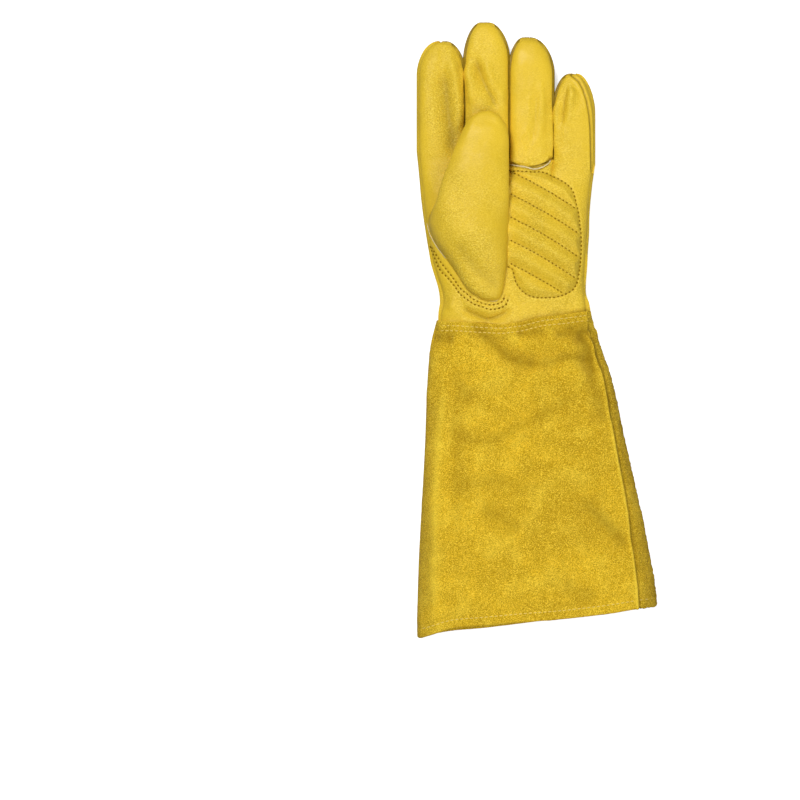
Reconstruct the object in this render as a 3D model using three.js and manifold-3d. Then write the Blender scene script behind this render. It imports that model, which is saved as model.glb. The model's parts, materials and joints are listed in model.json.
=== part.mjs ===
// A rose pruning gauntlet for the left hand, lying on its back with the thumb folded over the palm.
// X runs from the index finger to the little finger, Y from the hem to the fingertips and Z up.
// All lengths are in millimetres, and Y is counted from the wrist, where the suede cuff starts.

import * as THREE from "three";
import Module from "manifold-3d";
import { mergeVertices } from "three/addons/utils/BufferGeometryUtils.js";

const wasm = await Module();
wasm.setup();

// Walls, seams and clearances
const leatherWall = 1.2;
const suedeWall = 1.8;
const hemWall = 3.2;
const seamGap = 0.3;
const lapClearance = 0.6;
const restClearance = 0.5;

// Hand: finger widths and the reach of each fingertip from the wrist
const indexWidth = 31.5;
const middleWidth = 30.5;
const ringWidth = 30;
const littleWidth = 27.5;
const indexReach = 194.6;
const middleReach = 208;
const ringReach = 197.4;
const littleReach = 171.9;
const fingerGap = 0.9;
const fingerHeight = 17;
const fourchetteWidth = 8;
const fourchetteTipWidth = 3.8;
const indexTipLength = 23;
const middleTipLength = 28;
const ringTipLength = 25;
const littleTipLength = 28;
const knuckleHeight = 115;
const valleyLength = 24;
const fingerSeamDip = 5;
const palmHeight = 24;
const handShift = -21.9;

// Thumb, folded flat over the palm
const thumbLength = 132.6;
const thumbWidth = 57;
const thumbHeight = 15;
const thumbBase = 13;
const thumbAcross = 63;
const thumbHoleInset = 4;
const webOverlap = 5;

// Quilted pad and wrist gathers
const padRise = 1.5;
const padSpacing = 16;
const gatherDepth = 1.6;
const gatherLength = 42;

// Cuff
const cuffLength = 223;
const cuffTopWidth = 106.8;
const cuffTopShift = -16.6;
const hemWidth = 167.3;
const mouthHeight = 33;
const lapLength = 12;
const hemFold = 8;
const goreTopWidth = 2.5;
const goreHemWidth = 12.6;

// Outline of the palm as shares: along of the knuckle height, radial and ulnar of the hand's width
// by which each side lies in from the outer fingers, crown of the palm's height.
const handSections = [
  { along: 0.0, radial: 0.128, ulnar: 0.041, crown: 0.84 },
  { along: 0.1, radial: 0.141, ulnar: 0.043, crown: 0.84 },
  { along: 0.18, radial: 0.132, ulnar: 0.054, crown: 0.86 },
  { along: 0.27, radial: 0.104, ulnar: 0.053, crown: 0.9 },
  { along: 0.35, radial: 0.081, ulnar: 0.049, crown: 0.94 },
  { along: 0.52, radial: 0.052, ulnar: 0.037, crown: 1.0 },
  { along: 0.69, radial: 0.029, ulnar: 0.032, crown: 0.97 },
  { along: 0.86, radial: 0.014, ulnar: 0.018, crown: 0.86 },
  { along: 1.0, radial: 0.0, ulnar: 0.0, crown: 0.74 },
];

// Height of each crotch as a share of the knuckle height, from the index side across.
const crotches = [
  { side: "outside index", height: 1.03 },
  { side: "index to middle", height: 1.023 },
  { side: "middle to ring", height: 0.962 },
  { side: "ring to little", height: 0.98 },
  { side: "outside little", height: 0.95 },
];

// Each finger, with the share of its width by which its tip leans towards the little finger.
const fingers = [
  { name: "index", width: indexWidth, reach: indexReach, tip: indexTipLength, lean: 0.03 },
  { name: "middle", width: middleWidth, reach: middleReach, tip: middleTipLength, lean: -0.05 },
  { name: "ring", width: ringWidth, reach: ringReach, tip: ringTipLength, lean: -0.11 },
  { name: "little", width: littleWidth, reach: littleReach, tip: littleTipLength, lean: -0.02 },
];

// Thumb outline as shares: along of its length from the base, radial and ulnar of its width by
// which each edge lies in, rise of its height, lift of that rise up to its side seam.
const thumbSections = [
  { along: 0.0, radial: 0.737, ulnar: 0.158, rise: 0.0, lift: 0.0 },
  { along: 0.011, radial: 0.658, ulnar: 0.119, rise: 0.22, lift: 0.0 },
  { along: 0.03, radial: 0.596, ulnar: 0.09, rise: 0.36, lift: 0.0 },
  { along: 0.06, radial: 0.498, ulnar: 0.07, rise: 0.5, lift: 0.0 },
  { along: 0.143, radial: 0.36, ulnar: 0.04, rise: 0.75, lift: 0.0 },
  { along: 0.224, radial: 0.228, ulnar: 0.026, rise: 0.9, lift: 0.0 },
  { along: 0.293, radial: 0.11, ulnar: 0.014, rise: 0.98, lift: 0.0 },
  { along: 0.345, radial: 0.085, ulnar: 0.008, rise: 1.0, lift: 0.0 },
  { along: 0.407, radial: 0.06, ulnar: 0.0, rise: 1.0, lift: 0.0 },
  { along: 0.455, radial: 0.06, ulnar: 0.0, rise: 1.0, lift: 0.14 },
  { along: 0.525, radial: 0.1, ulnar: 0.0, rise: 1.0, lift: 0.3 },
  { along: 0.63, radial: 0.167, ulnar: 0.0, rise: 1.0, lift: 0.42 },
  { along: 0.72, radial: 0.25, ulnar: 0.0, rise: 0.99, lift: 0.42 },
  { along: 0.8, radial: 0.325, ulnar: 0.0, rise: 0.96, lift: 0.42 },
  { along: 0.86, radial: 0.385, ulnar: 0.004, rise: 0.9, lift: 0.42 },
  { along: 0.91, radial: 0.44, ulnar: 0.025, rise: 0.8, lift: 0.42 },
  { along: 0.95, radial: 0.495, ulnar: 0.07, rise: 0.65, lift: 0.42 },
  { along: 0.98, radial: 0.565, ulnar: 0.13, rise: 0.5, lift: 0.45 },
  { along: 1.0, radial: 0.67, ulnar: 0.205, rise: 0.35, lift: 0.5 },
];
const webAlong = 0.407;

// Flare of the cuff as shares: along of its length, radial and ulnar of the way from its top edge
// to its hem on each side, crown of the mouth's height.
const cuffSections = [
  { along: 0.0, radial: 0.0, ulnar: 0.0, crown: 0.68 },
  { along: 0.082, radial: 0.31, ulnar: 0.135, crown: 0.68 },
  { along: 0.213, radial: 0.487, ulnar: 0.326, crown: 0.72 },
  { along: 0.389, radial: 0.59, ulnar: 0.489, crown: 0.8 },
  { along: 0.565, radial: 0.744, ulnar: 0.66, crown: 0.88 },
  { along: 0.741, radial: 0.9, ulnar: 0.82, crown: 0.95 },
  { along: 0.917, radial: 0.99, ulnar: 0.965, crown: 1.0 },
  { along: 1.0, radial: 1.0, ulnar: 1.0, crown: 1.0 },
];

// Length of the cuff across its width, as shares of its longest side.
const hemLine = [
  { across: 0.0, front: 1.0, back: 1.0 },
  { across: 0.06, front: 0.985, back: 0.99 },
  { across: 0.14, front: 0.966, back: 0.98 },
  { across: 0.26, front: 0.957, back: 0.972 },
  { across: 0.43, front: 0.945, back: 0.957 },
  { across: 0.6, front: 0.935, back: 0.94 },
  { across: 0.78, front: 0.92, back: 0.92 },
  { across: 0.92, front: 0.905, back: 0.905 },
  { across: 1.0, front: 0.9, back: 0.9 },
];

// Soft dents in the front of the cuff: place and size as shares of its width and length, depth as
// a share of the mouth's height.
const cuffDents = [
  { across: 0.28, along: 0.12, wide: 0.13, long: 0.05, depth: 0.07 },
  { across: 0.72, along: 0.17, wide: 0.1, long: 0.09, depth: 0.06 },
  { across: 0.55, along: 0.42, wide: 0.16, long: 0.14, depth: 0.05 },
  { across: 0.3, along: 0.66, wide: 0.12, long: 0.16, depth: 0.05 },
  { across: 0.76, along: 0.78, wide: 0.1, long: 0.18, depth: 0.06 },
];

// Quilted pad: its sides as shares of the hand's width and the knuckle height, the slope of its
// diagonal lines, and what is left of its rise in the channels between them.
const pad = { left: 0.525, right: 0.955, low: 0.14, high: 0.9, slope: 0.62, channel: 0.4 };

// Counts of columns and rows in the surfaces
const frontColumns = 6;
const backColumns = 4;
const thumbColumns = 9;
const thumbUnderColumns = 5;
const cuffFrontColumns = 15;
const cuffBackColumns = 11;

// Roundness of each kind of section, where 2 is an ellipse
const palmSquareness = 4;
const fingerSquareness = 2.6;
const cuffSquareness = 3.2;
const thumbSquareness = 2.4;
const tipRoundness = 1.9;

// Width of the blunt end of a fingertip as a share of the finger, length of its rounding in height
// as a share of the fingertip, and length over which the thumb leaves the palm as a share of it.
const tipFlat = 0.12;
const tipArch = 0.67;
const webBlend = 0.12;

// Heights of the two seams along the sides of the fingers, hand and cuff
const sideMiddle = 0.47 * fingerHeight;
const sideLow = sideMiddle - fourchetteWidth / 2;
const sideHigh = sideMiddle + fourchetteWidth / 2;
const backDepth = 1.2 * sideLow;

const handWidth = indexWidth + middleWidth + ringWidth + littleWidth + 3 * fingerGap;
const handLeft = handShift - handWidth / 2;
const webHeight = thumbBase + thumbLength * webAlong;

const lerp = THREE.MathUtils.lerp;
const clamp = THREE.MathUtils.clamp;
const smooth = (value) => THREE.MathUtils.smoothstep(value, 0, 1);
const profile = (across, squareness) => Math.sqrt(Math.max(0, 1 - Math.abs(2 * across - 1) ** squareness));

// Reads a column of a table at a place in between its rows, on a smooth curve through them.
function lookUp(table, key, place, column) {
  const last = table.length - 1;
  const at = clamp(place, table[0][key], table[last][key]);
  let row = 0;
  while (row < last - 1 && table[row + 1][key] < at) row += 1;
  const slope = (index) => {
    const before = table[Math.max(index - 1, 0)];
    const after = table[Math.min(index + 1, last)];
    return (after[column] - before[column]) / (after[key] - before[key]);
  };
  const span = table[row + 1][key] - table[row][key];
  const share = (at - table[row][key]) / span;
  const rise = table[row + 1][column] - table[row][column];
  const start = slope(row) * span;
  const end = slope(row + 1) * span;
  const cubic = share * (start + share * (3 * rise - 2 * start - end + share * (start + end - 2 * rise)));
  return table[row][column] + cubic;
}

// Cuff surface: its left and right edges, and a point on its front or back layer.
function cuffEdges(along) {
  const radialTop = cuffTopShift - cuffTopWidth / 2;
  const ulnarTop = cuffTopShift + cuffTopWidth / 2;
  const left = lerp(radialTop, -hemWidth / 2, lookUp(cuffSections, "along", along, "radial"));
  const right = lerp(ulnarTop, hemWidth / 2, lookUp(cuffSections, "along", along, "ulnar"));
  return { left, right };
}

function cuffReach(layer, across) {
  return cuffLength * lookUp(hemLine, "across", across, layer);
}

function dentDepth(across, along) {
  let depth = 0;
  for (const dent of cuffDents) {
    const side = (across - dent.across) / dent.wide;
    const length = (along - dent.along) / dent.long;
    depth += dent.depth * mouthHeight * Math.exp(-side * side - length * length);
  }
  return depth;
}

function cuffPoint(layer, across, y) {
  const along = Math.max(0, -y) / cuffReach(layer, across);
  const { left, right } = cuffEdges(along);
  const bulge = profile(across, cuffSquareness);
  const crown = mouthHeight * lookUp(cuffSections, "along", along, "crown");
  const front = sideHigh + (crown - sideHigh - dentDepth(across, along)) * bulge;
  const back = Math.max(0, sideLow - backDepth * bulge);
  return new THREE.Vector3(lerp(left, right, across), y, layer === "front" ? front : back);
}

// A point of the leather where it lies inside the top of the cuff.
function lapPoint(layer, across, y) {
  const step = 0.002;
  const from = cuffPoint(layer, Math.max(across - step, 0), y);
  const to = cuffPoint(layer, Math.min(across + step, 1), y);
  const low = Math.min(y, 0);
  const down = cuffPoint(layer, across, low - 1).sub(cuffPoint(layer, across, low));
  const normal = to.sub(from).cross(down).normalize();
  if (layer === "front") normal.negate();
  return cuffPoint(layer, across, y).addScaledVector(normal, -(suedeWall + lapClearance));
}

// Left edge of each finger, and the share of the hand's width at a place across a finger.
const fingerLefts = fingers.map((finger, index) => {
  const before = fingers.slice(0, index).reduce((sum, other) => sum + other.width + fingerGap, 0);
  return handLeft + before;
});

function shareAcross(finger, across) {
  const joined = across === 0 && finger > 0 ? -fingerGap / 2 : 0;
  const joinedRight = across === 1 && finger < fingers.length - 1 ? fingerGap / 2 : 0;
  const x = fingerLefts[finger] + fingers[finger].width * across + joined + joinedRight;
  return (x - handLeft) / handWidth;
}

function knuckleLine(finger, across) {
  return knuckleHeight * lerp(crotches[finger].height, crotches[finger + 1].height, across);
}

function handEdges(along) {
  const left = handLeft + handWidth * lookUp(handSections, "along", along, "radial");
  const right = handLeft + handWidth * (1 - lookUp(handSections, "along", along, "ulnar"));
  return { left, right };
}

// Puffed rows between the diagonal lines of the quilted pad, zero outside its rounded outline.
function padHeight(across, along) {
  const side = (2 * (across - pad.left)) / (pad.right - pad.left) - 1;
  const length = (2 * (along - pad.low)) / (pad.high - pad.low) - 1;
  const inside = 1 - side ** 4 - length ** 4;
  if (inside <= 0) return 0;
  const line = along * knuckleHeight + pad.slope * across * handWidth;
  const puff = lerp(pad.channel, 1, Math.abs(Math.sin((Math.PI * line) / padSpacing)));
  return padRise * Math.min(1, 3 * inside) * puff;
}

function palmCrown(along) {
  return palmHeight * lookUp(handSections, "along", along, "crown");
}

// Height of the palm or back surface below the knuckles, fading into the fingers' own sections.
function palmZ(layer, finger, across, y) {
  const knuckle = knuckleLine(finger, across);
  const along = clamp(y / knuckle, 0, 1);
  const share = shareAcross(finger, across);
  const bulge = profile(share, palmSquareness);
  const ownBulge = profile(across, fingerSquareness);
  const fade = smooth((knuckle - y) / valleyLength);
  if (layer === "front") {
    const palm = sideHigh + (palmCrown(along) - sideHigh) * bulge + padHeight(share, along);
    return lerp(sideHigh + (fingerHeight - sideHigh) * ownBulge, palm, fade);
  }
  return Math.max(0, sideLow - backDepth * lerp(ownBulge, bulge, fade));
}

function gatherHeight(column, y) {
  if (column % 2 === 0) return 0;
  const rise = smooth((y + lapLength / 2) / lapLength);
  return gatherDepth * rise * (1 - smooth(y / gatherLength));
}

// A point of the hand below the knuckle line; level is 0 at the wrist and 1 at that line.
function palmPoint(layer, finger, across, level, column) {
  const knuckle = knuckleLine(finger, across);
  const dip = layer === "front" ? fingerSeamDip * 4 * across * (1 - across) * level ** 3 : 0;
  const y = knuckle * level - dip;
  const share = shareAcross(finger, across);
  const { left, right } = handEdges(y / knuckle);
  const own = new THREE.Vector3(lerp(left, right, share), y, palmZ(layer, finger, across, y));
  if (layer === "back") own.z += gatherHeight(column, y);
  return lapPoint(layer, share, y).lerp(own, smooth(y / lapLength));
}

// A point of a finger; reach is its distance from the fingertip where it is within the tip.
function fingerPoint(layer, finger, across, row) {
  const { width, reach, tip, lean } = fingers[finger];
  const dip = layer === "front" ? fingerSeamDip * 4 * across * (1 - across) : 0;
  const start = knuckleLine(finger, across) - dip;
  const y = row.shaft !== undefined ? lerp(start, reach - tip, row.shaft) : 0;
  const fromTip = row.tip !== undefined ? tip * row.tip : reach - y;
  const round = (share, power) => (1 - (1 - clamp(share, 0, 1)) ** power) ** (1 / power);
  const narrow = lerp(tipFlat, 1, round(fromTip / tip, tipRoundness));
  const swell = round(fromTip / (tipArch * tip), 2);
  const arch = (fingerHeight - sideHigh) * swell;
  const side = lerp(fourchetteTipWidth, fourchetteWidth, smooth(fromTip / tip)) / 2;
  const bulge = profile(across, fingerSquareness);
  const top = sideMiddle + side + arch * bulge;
  const bottom = Math.max(lerp(sideMiddle - side, 0, swell), sideMiddle - side - backDepth * bulge);
  const x = fingerLefts[finger] + width * (0.5 + (across - 0.5) * narrow + lean * (1 - narrow));
  return new THREE.Vector3(x, reach - fromTip, layer === "front" ? top : bottom);
}

// A skin is a surface of triangles, each marked with the sewn piece that it belongs to.
function newSkin() {
  return { points: [], triangles: [], known: new Map(), pinned: new Map() };
}

function addPoint(skin, point) {
  const key = point.toArray().map((value) => Math.round(value * 1000)).join(" ");
  if (!skin.known.has(key)) {
    skin.known.set(key, skin.points.length);
    skin.points.push(point);
  }
  return skin.known.get(key);
}

function addTriangle(skin, corners, piece) {
  if (new Set(corners).size === 3) skin.triangles.push({ corners, piece });
}

// Adds the quads between two rows of points, seen from outside with the second row further along.
function addStrip(skin, near, far, pieceAt) {
  const low = near.map((point) => addPoint(skin, point));
  const high = far.map((point) => addPoint(skin, point));
  for (let column = 0; column < near.length - 1; column += 1) {
    const piece = pieceAt(column);
    if (!piece) continue;
    addTriangle(skin, [low[column], low[column + 1], high[column + 1]], piece);
    addTriangle(skin, [low[column], high[column + 1], high[column]], piece);
  }
}

function triangleNormal(points, [a, b, c]) {
  const along = points[b].clone().sub(points[a]);
  return along.cross(points[c].clone().sub(points[a]));
}

function skinNormals(skin) {
  const normals = skin.points.map(() => new THREE.Vector3());
  for (const { corners } of skin.triangles) {
    const normal = triangleNormal(skin.points, corners);
    for (const corner of corners) normals[corner].add(normal);
  }
  normals.forEach((normal) => normal.normalize());
  for (const [index, normal] of skin.pinned) normals[index].copy(normal);
  return normals;
}

// How much further than the wall a corner lies behind its outer point, so that folds keep their wall.
function mitreDepths(skin, normals) {
  const sums = skin.points.map(() => 0);
  const counts = skin.points.map(() => 0);
  for (const { corners } of skin.triangles) {
    const face = triangleNormal(skin.points, corners).normalize();
    for (const corner of corners) {
      sums[corner] += face.dot(normals[corner]);
      counts[corner] += 1;
    }
  }
  return sums.map((sum, index) => {
    return skin.pinned.has(index) || counts[index] === 0 ? 1 : 1 / clamp(sum / counts[index], 0.62, 1);
  });
}

// Cuts one sewn piece out of a skin, trims half the seam gap off its seams and gives it a wall.
function sewnPiece(skin, piece, wallAt) {
  const normals = skinNormals(skin);
  const own = skin.triangles.filter((triangle) => triangle.piece === piece);
  const everywhere = new Set();
  const mine = new Set();
  const edgesOf = ([a, b, c]) => [[a, b], [b, c], [c, a]];
  for (const { corners } of skin.triangles) {
    for (const [from, to] of edgesOf(corners)) everywhere.add(`${from} ${to}`);
  }
  for (const { corners } of own) {
    for (const [from, to] of edgesOf(corners)) mine.add(`${from} ${to}`);
  }
  const trims = new Map();
  const border = [];
  for (const { corners } of own) {
    const face = triangleNormal(skin.points, corners).normalize();
    for (const [from, to] of edgesOf(corners)) {
      if (mine.has(`${to} ${from}`)) continue;
      border.push([from, to]);
      if (!everywhere.has(`${to} ${from}`)) continue;
      const edge = skin.points[to].clone().sub(skin.points[from]);
      const inward = face.clone().cross(edge).normalize();
      for (const end of [from, to]) trims.set(end, [...(trims.get(end) ?? []), inward]);
    }
  }
  const outer = skin.points.map((point, index) => {
    const moved = point.clone();
    const ways = trims.get(index) ?? [];
    if (ways.length === 1) moved.addScaledVector(ways[0], seamGap / 2);
    if (ways.length > 1) {
      const sum = ways.reduce((total, way) => total.add(way), new THREE.Vector3());
      const spread = Math.max(0.5, sum.lengthSq() / ways.length);
      moved.addScaledVector(sum, seamGap / 2 / spread);
    }
    return moved;
  });
  const depths = mitreDepths(skin, normals);
  const inner = outer.map((point, index) => {
    return point.clone().addScaledVector(normals[index], -wallAt(skin.points[index]) * depths[index]);
  });
  const corners = [];
  const add = (a, b, c) => corners.push(a, b, c);
  for (const triangle of own) {
    const [a, b, c] = triangle.corners;
    add(outer[a], outer[b], outer[c]);
    add(inner[a], inner[c], inner[b]);
  }
  for (const [from, to] of border) {
    // Both sides of a seam fold their edge walls along the same diagonal.
    const diagonal = from < to ? [outer[to], inner[from]] : [outer[from], inner[to]];
    add(outer[to], outer[from], diagonal[1]);
    add(diagonal[0], inner[from], inner[to]);
  }
  return mergeVertices(new THREE.BufferGeometry().setFromPoints(corners), 1e-5);
}

// Places across a finger, closer together at its rounded sides.
function spread(columns) {
  return Array.from({ length: columns + 1 }, (_, column) => {
    return column === columns ? 1 : (1 - Math.cos((Math.PI * column) / columns)) / 2;
  });
}

const levels = [0.04, 0.08, 0.13, 0.19, 0.25, 0.31, 0.37, 0.43, 0.49, 0.55, 0.61, 0.67, 0.73, 0.79,
  0.85, 0.91, 0.955, 1];
const fingerRows = [
  ...[0.06, 0.16, 0.29, 0.43, 0.58, 0.74, 0.88].map((shaft) => ({ shaft })),
  ...[1, 0.72, 0.46, 0.26, 0.12, 0.04, 0].map((tip) => ({ tip })),
];

// Builds the skin of the whole leather hand, from the lap inside the cuff up to the fingertips.
function handSkin() {
  const skin = newSkin();
  const across = { front: spread(frontColumns), back: spread(backColumns) };
  const lapRows = [-lapLength, -lapLength / 2, 0].map((y) => ({ y }));
  const rowsBelow = [...lapRows, ...levels.map((level) => ({ level }))];
  const below = (layer, finger, place, row, column) => {
    if (row.level !== undefined) return palmPoint(layer, finger, place, row.level, column);
    return lapPoint(layer, shareAcross(finger, place), row.y);
  };
  const line = (layer, finger, row) => across[layer].map((place, column) => {
    const isFinger = row.shaft !== undefined || row.tip !== undefined;
    return isFinger ? fingerPoint(layer, finger, place, row) : below(layer, finger, place, row, column);
  });
  const frontPieces = ["palm_panel", "middle_finger_front", "ring_finger_front", "palm_panel"];
  const lastFinger = fingers.length - 1;
  const backPiece = (finger, column, isFinger) => {
    if (finger === lastFinger && column === backColumns - 1) return "palm_panel";
    if (finger > 0) return "back_panel";
    if (isFinger) return column < backColumns / 2 ? "palm_panel" : "index_back";
    return column === 0 ? "palm_panel" : "back_panel";
  };
  const sidePiece = (finger, edge, isFinger) => {
    const outside = (finger === 0 && edge === 0) || (finger === lastFinger && edge === 1);
    if (outside) return "palm_panel";
    return isFinger ? `fourchette_${fingers[finger - 1 + edge].name}_${fingers[finger + edge].name}` : null;
  };
  fingers.forEach((_, finger) => {
    const rows = [...rowsBelow, ...fingerRows];
    rows.slice(1).forEach((row, index) => {
      const isFinger = row.shaft !== undefined || row.tip !== undefined;
      const near = { front: line("front", finger, rows[index]), back: line("back", finger, rows[index]) };
      const far = { front: line("front", finger, row), back: line("back", finger, row) };
      addStrip(skin, near.front, far.front, () => (isFinger ? frontPieces[finger] : "palm_panel"));
      addStrip(skin, far.back, near.back, (column) => backPiece(finger, column, isFinger));
      for (const edge of [0, 1]) {
        const pick = (points) => points[edge ? points.length - 1 : 0];
        const nearEdge = [pick(near.back), pick(near.front)];
        const farEdge = [pick(far.back), pick(far.front)];
        if (edge === 0) addStrip(skin, nearEdge, farEdge, () => sidePiece(finger, edge, isFinger));
        else addStrip(skin, farEdge, nearEdge, () => sidePiece(finger, edge, isFinger));
      }
    });
    closeTip(skin, line("back", finger, rows.at(-1)), line("front", finger, rows.at(-1)), (column) => {
      return backPiece(finger, column, true);
    });
  });
  pinCrotches(skin);
  return skin;
}

// Closes a fingertip between the last rows of its back and front, which differ in columns.
function closeTip(skin, back, front, pieceAt) {
  const low = back.map((point) => addPoint(skin, point));
  const high = front.map((point) => addPoint(skin, point));
  let column = 0;
  let above = 0;
  while (column < low.length - 1 || above < high.length - 1) {
    const piece = pieceAt(Math.min(column, low.length - 2));
    const lowAhead = column < low.length - 1 ? back[column + 1].x : Infinity;
    const highAhead = above < high.length - 1 ? front[above + 1].x : Infinity;
    if (lowAhead <= highAhead) {
      addTriangle(skin, [low[column], high[above], low[column + 1]], piece);
      column += 1;
    } else {
      addTriangle(skin, [low[column], high[above], high[above + 1]], piece);
      above += 1;
    }
  }
}

// Leans the wall at each crotch towards the fingertips, where two fingers share one edge.
function pinCrotches(skin) {
  for (let finger = 1; finger < fingers.length; finger += 1) {
    for (const layer of ["front", "back"]) {
      const place = palmPoint(layer, finger, 0, 1, 0);
      const lean = new THREE.Vector3(0, 1, layer === "front" ? 0.8 : -0.8).normalize();
      skin.pinned.set(addPoint(skin, place), lean);
    }
  }
}

// Height of the leather's front at any place below the knuckles.
function frontHeight(x, y) {
  const { left, right } = handEdges(y / knuckleHeight);
  const knuckleX = handLeft + (handWidth * (x - left)) / (right - left);
  let finger = 0;
  while (finger < fingers.length - 1 && knuckleX > fingerLefts[finger + 1]) finger += 1;
  const across = clamp((knuckleX - fingerLefts[finger]) / fingers[finger].width, 0.001, 0.999);
  return palmZ("front", finger, across, y);
}

function thumbEdges(along) {
  const right = handLeft + thumbAcross;
  return {
    left: right - thumbWidth * (1 - lookUp(thumbSections, "along", along, "radial")),
    right: right - thumbWidth * lookUp(thumbSections, "along", along, "ulnar"),
  };
}

// Height on which the thumb lies: clear of the crown of the palm, and of the fingers beyond it.
function thumbBed(y) {
  return Math.max(palmCrown(clamp(y / knuckleHeight, 0, 1)), fingerHeight) + restClearance;
}

// A point on the top or the underside of the thumb, in the row of the table at that place along.
function thumbPoint(layer, across, along) {
  const y = thumbBase + thumbLength * along;
  const { left, right } = thumbEdges(along);
  const bed = thumbBed(y);
  const rise = thumbHeight * lookUp(thumbSections, "along", along, "rise");
  const lift = rise * lookUp(thumbSections, "along", along, "lift");
  const free = smooth((along - webAlong) / webBlend);
  const inside = leatherWall + seamGap;
  const rim = (x) => lerp(Math.min(frontHeight(x, y), bed) + restClearance, bed + lift, free);
  const side = lerp(rim(left + inside), rim(right - inside), across);
  const x = lerp(left, right, across);
  const bulge = profile(across, thumbSquareness);
  if (layer === "top") return new THREE.Vector3(x, y, side + Math.max(0, bed + rise - side) * bulge);
  if (across === 0 || across === 1) return new THREE.Vector3(x, y, side);
  const under = Math.max(side - lift * bulge, Math.min(frontHeight(x, y), bed) + restClearance);
  return new THREE.Vector3(x, y, lerp(under, Math.max(under, bed), free));
}

function thumbSkin() {
  const skin = newSkin();
  const places = { top: spread(thumbColumns), under: spread(thumbUnderColumns) };
  const line = (layer, along) => places[layer].map((place) => thumbPoint(layer, place, along));
  thumbSections.slice(1).forEach(({ along }, index) => {
    const before = thumbSections[index].along;
    addStrip(skin, line("top", before), line("top", along), () => "thumb_outer");
    if (before < webAlong) return;
    addStrip(skin, line("under", along), line("under", before), () => "thumb_inner");
  });
  closeTip(skin, line("under", 1), line("top", 1), () => "thumb_outer");
  // The rim that stands on the palm has an upright wall.
  const normals = skinNormals(skin);
  for (const { along } of thumbSections) {
    if (along > webAlong) break;
    for (const place of along === 0 ? places.top : [0, 1]) {
      const index = addPoint(skin, thumbPoint("top", place, along));
      skin.pinned.set(index, normals[index].clone().setZ(0).normalize());
    }
  }
  return skin;
}

// Turns a closed geometry into a solid for cutting, and back.
function toSolid(geometry) {
  const bare = geometry.clone();
  bare.deleteAttribute("normal");
  bare.deleteAttribute("uv");
  const merged = mergeVertices(bare, 1e-5);
  const vertProperties = new Float32Array(merged.attributes.position.array);
  const triVerts = new Uint32Array(merged.index.array);
  return new wasm.Manifold(new wasm.Mesh({ numProp: 3, vertProperties, triVerts }));
}

function toGeometry(solid) {
  const { vertProperties, triVerts } = solid.getMesh();
  const geometry = new THREE.BufferGeometry();
  geometry.setAttribute("position", new THREE.BufferAttribute(vertProperties, 3));
  geometry.setIndex(new THREE.BufferAttribute(triVerts, 1));
  return geometry;
}

// The hole in the palm under the thumb, inside the thumb's own rim.
function thumbHole() {
  const low = thumbBase + thumbHoleInset;
  const high = webHeight - webOverlap;
  const steps = 8;
  const leftSide = [];
  const rightSide = [];
  for (let step = 0; step <= steps; step += 1) {
    const y = lerp(low, high, step / steps);
    const { left, right } = thumbEdges((y - thumbBase) / thumbLength);
    leftSide.unshift(new THREE.Vector2(left + thumbHoleInset, y));
    rightSide.push(new THREE.Vector2(right - thumbHoleInset, y));
  }
  const outline = new THREE.Shape([...rightSide, ...leftSide]);
  const depth = palmHeight + padRise;
  const prism = new THREE.ExtrudeGeometry(outline, { depth, bevelEnabled: false });
  return prism.translate(0, 0, sideMiddle);
}

// The cuff: one wide piece wrapped round the radial side and a narrow gore on the ulnar side.
function cuffSkin() {
  const skin = newSkin();
  const foldStart = 1 - hemFold / cuffLength;
  const foldStep = seamGap / cuffLength * 3;
  const rows = [0, 0.025, 0.06, 0.1, 0.16, 0.24, 0.33, 0.43, 0.53, 0.63, 0.73, 0.82, 0.9,
    foldStart - foldStep, foldStart, 1];
  const mainPlaces = (columns) => {
    return spread(columns).map((place, column) => lerp(place, column / columns, 0.1));
  };
  const gorePlaces = [0.6, 1];
  const line = (layer, columns, along) => {
    const { left, right } = cuffEdges(along);
    const gore = lerp(goreTopWidth, goreHemWidth, along ** 1.2) / (right - left);
    const main = mainPlaces(columns).map((place) => place * (1 - gore));
    const rest = gorePlaces.map((place) => 1 - gore + gore * place);
    return [...main, ...rest].map((place) => cuffPoint(layer, place, -along * cuffReach(layer, place)));
  };
  rows.slice(1).forEach((along, index) => {
    const before = rows[index];
    const lines = (place) => ({
      front: line("front", cuffFrontColumns, place),
      back: line("back", cuffBackColumns, place),
    });
    const near = lines(before);
    const far = lines(along);
    addStrip(skin, far.front, near.front, (column) => (column < cuffFrontColumns ? "cuff" : "cuff_gore"));
    addStrip(skin, near.back, far.back, (column) => (column < cuffBackColumns ? "cuff" : "cuff_gore"));
    addStrip(skin, [far.back[0], far.front[0]], [near.back[0], near.front[0]], () => "cuff");
    const right = (row) => [row.back.at(-1), row.front.at(-1)];
    addStrip(skin, right(near), right(far), () => "cuff_gore");
  });
  return skin;
}

// The hem is turned up inside, so the wall is thicker there.
function cuffWall(point) {
  const { left, right } = cuffEdges(1);
  const across = clamp((point.x - left) / (right - left), 0, 1);
  const layer = point.z < sideMiddle ? "back" : "front";
  const hemStart = cuffReach(layer, across) * (1 - hemFold / cuffLength);
  return -point.y > hemStart - seamGap ? hemWall : suedeWall;
}

const leather = { color: 0xebc434, roughness: 0.5, metalness: 0 };
const suede = { color: 0xc8a523, roughness: 0.95, metalness: 0 };

const group = new THREE.Group();
group.position.set(0, (cuffLength - middleReach) / 2, 0);

function addMesh(name, geometry, finish) {
  geometry.computeVertexNormals();
  const mesh = new THREE.Mesh(geometry, new THREE.MeshStandardMaterial(finish));
  mesh.name = name;
  group.add(mesh);
}

const hand = handSkin();
const thumb = thumbSkin();
const cuffSurface = cuffSkin();
const leatherThickness = () => leatherWall;

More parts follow.
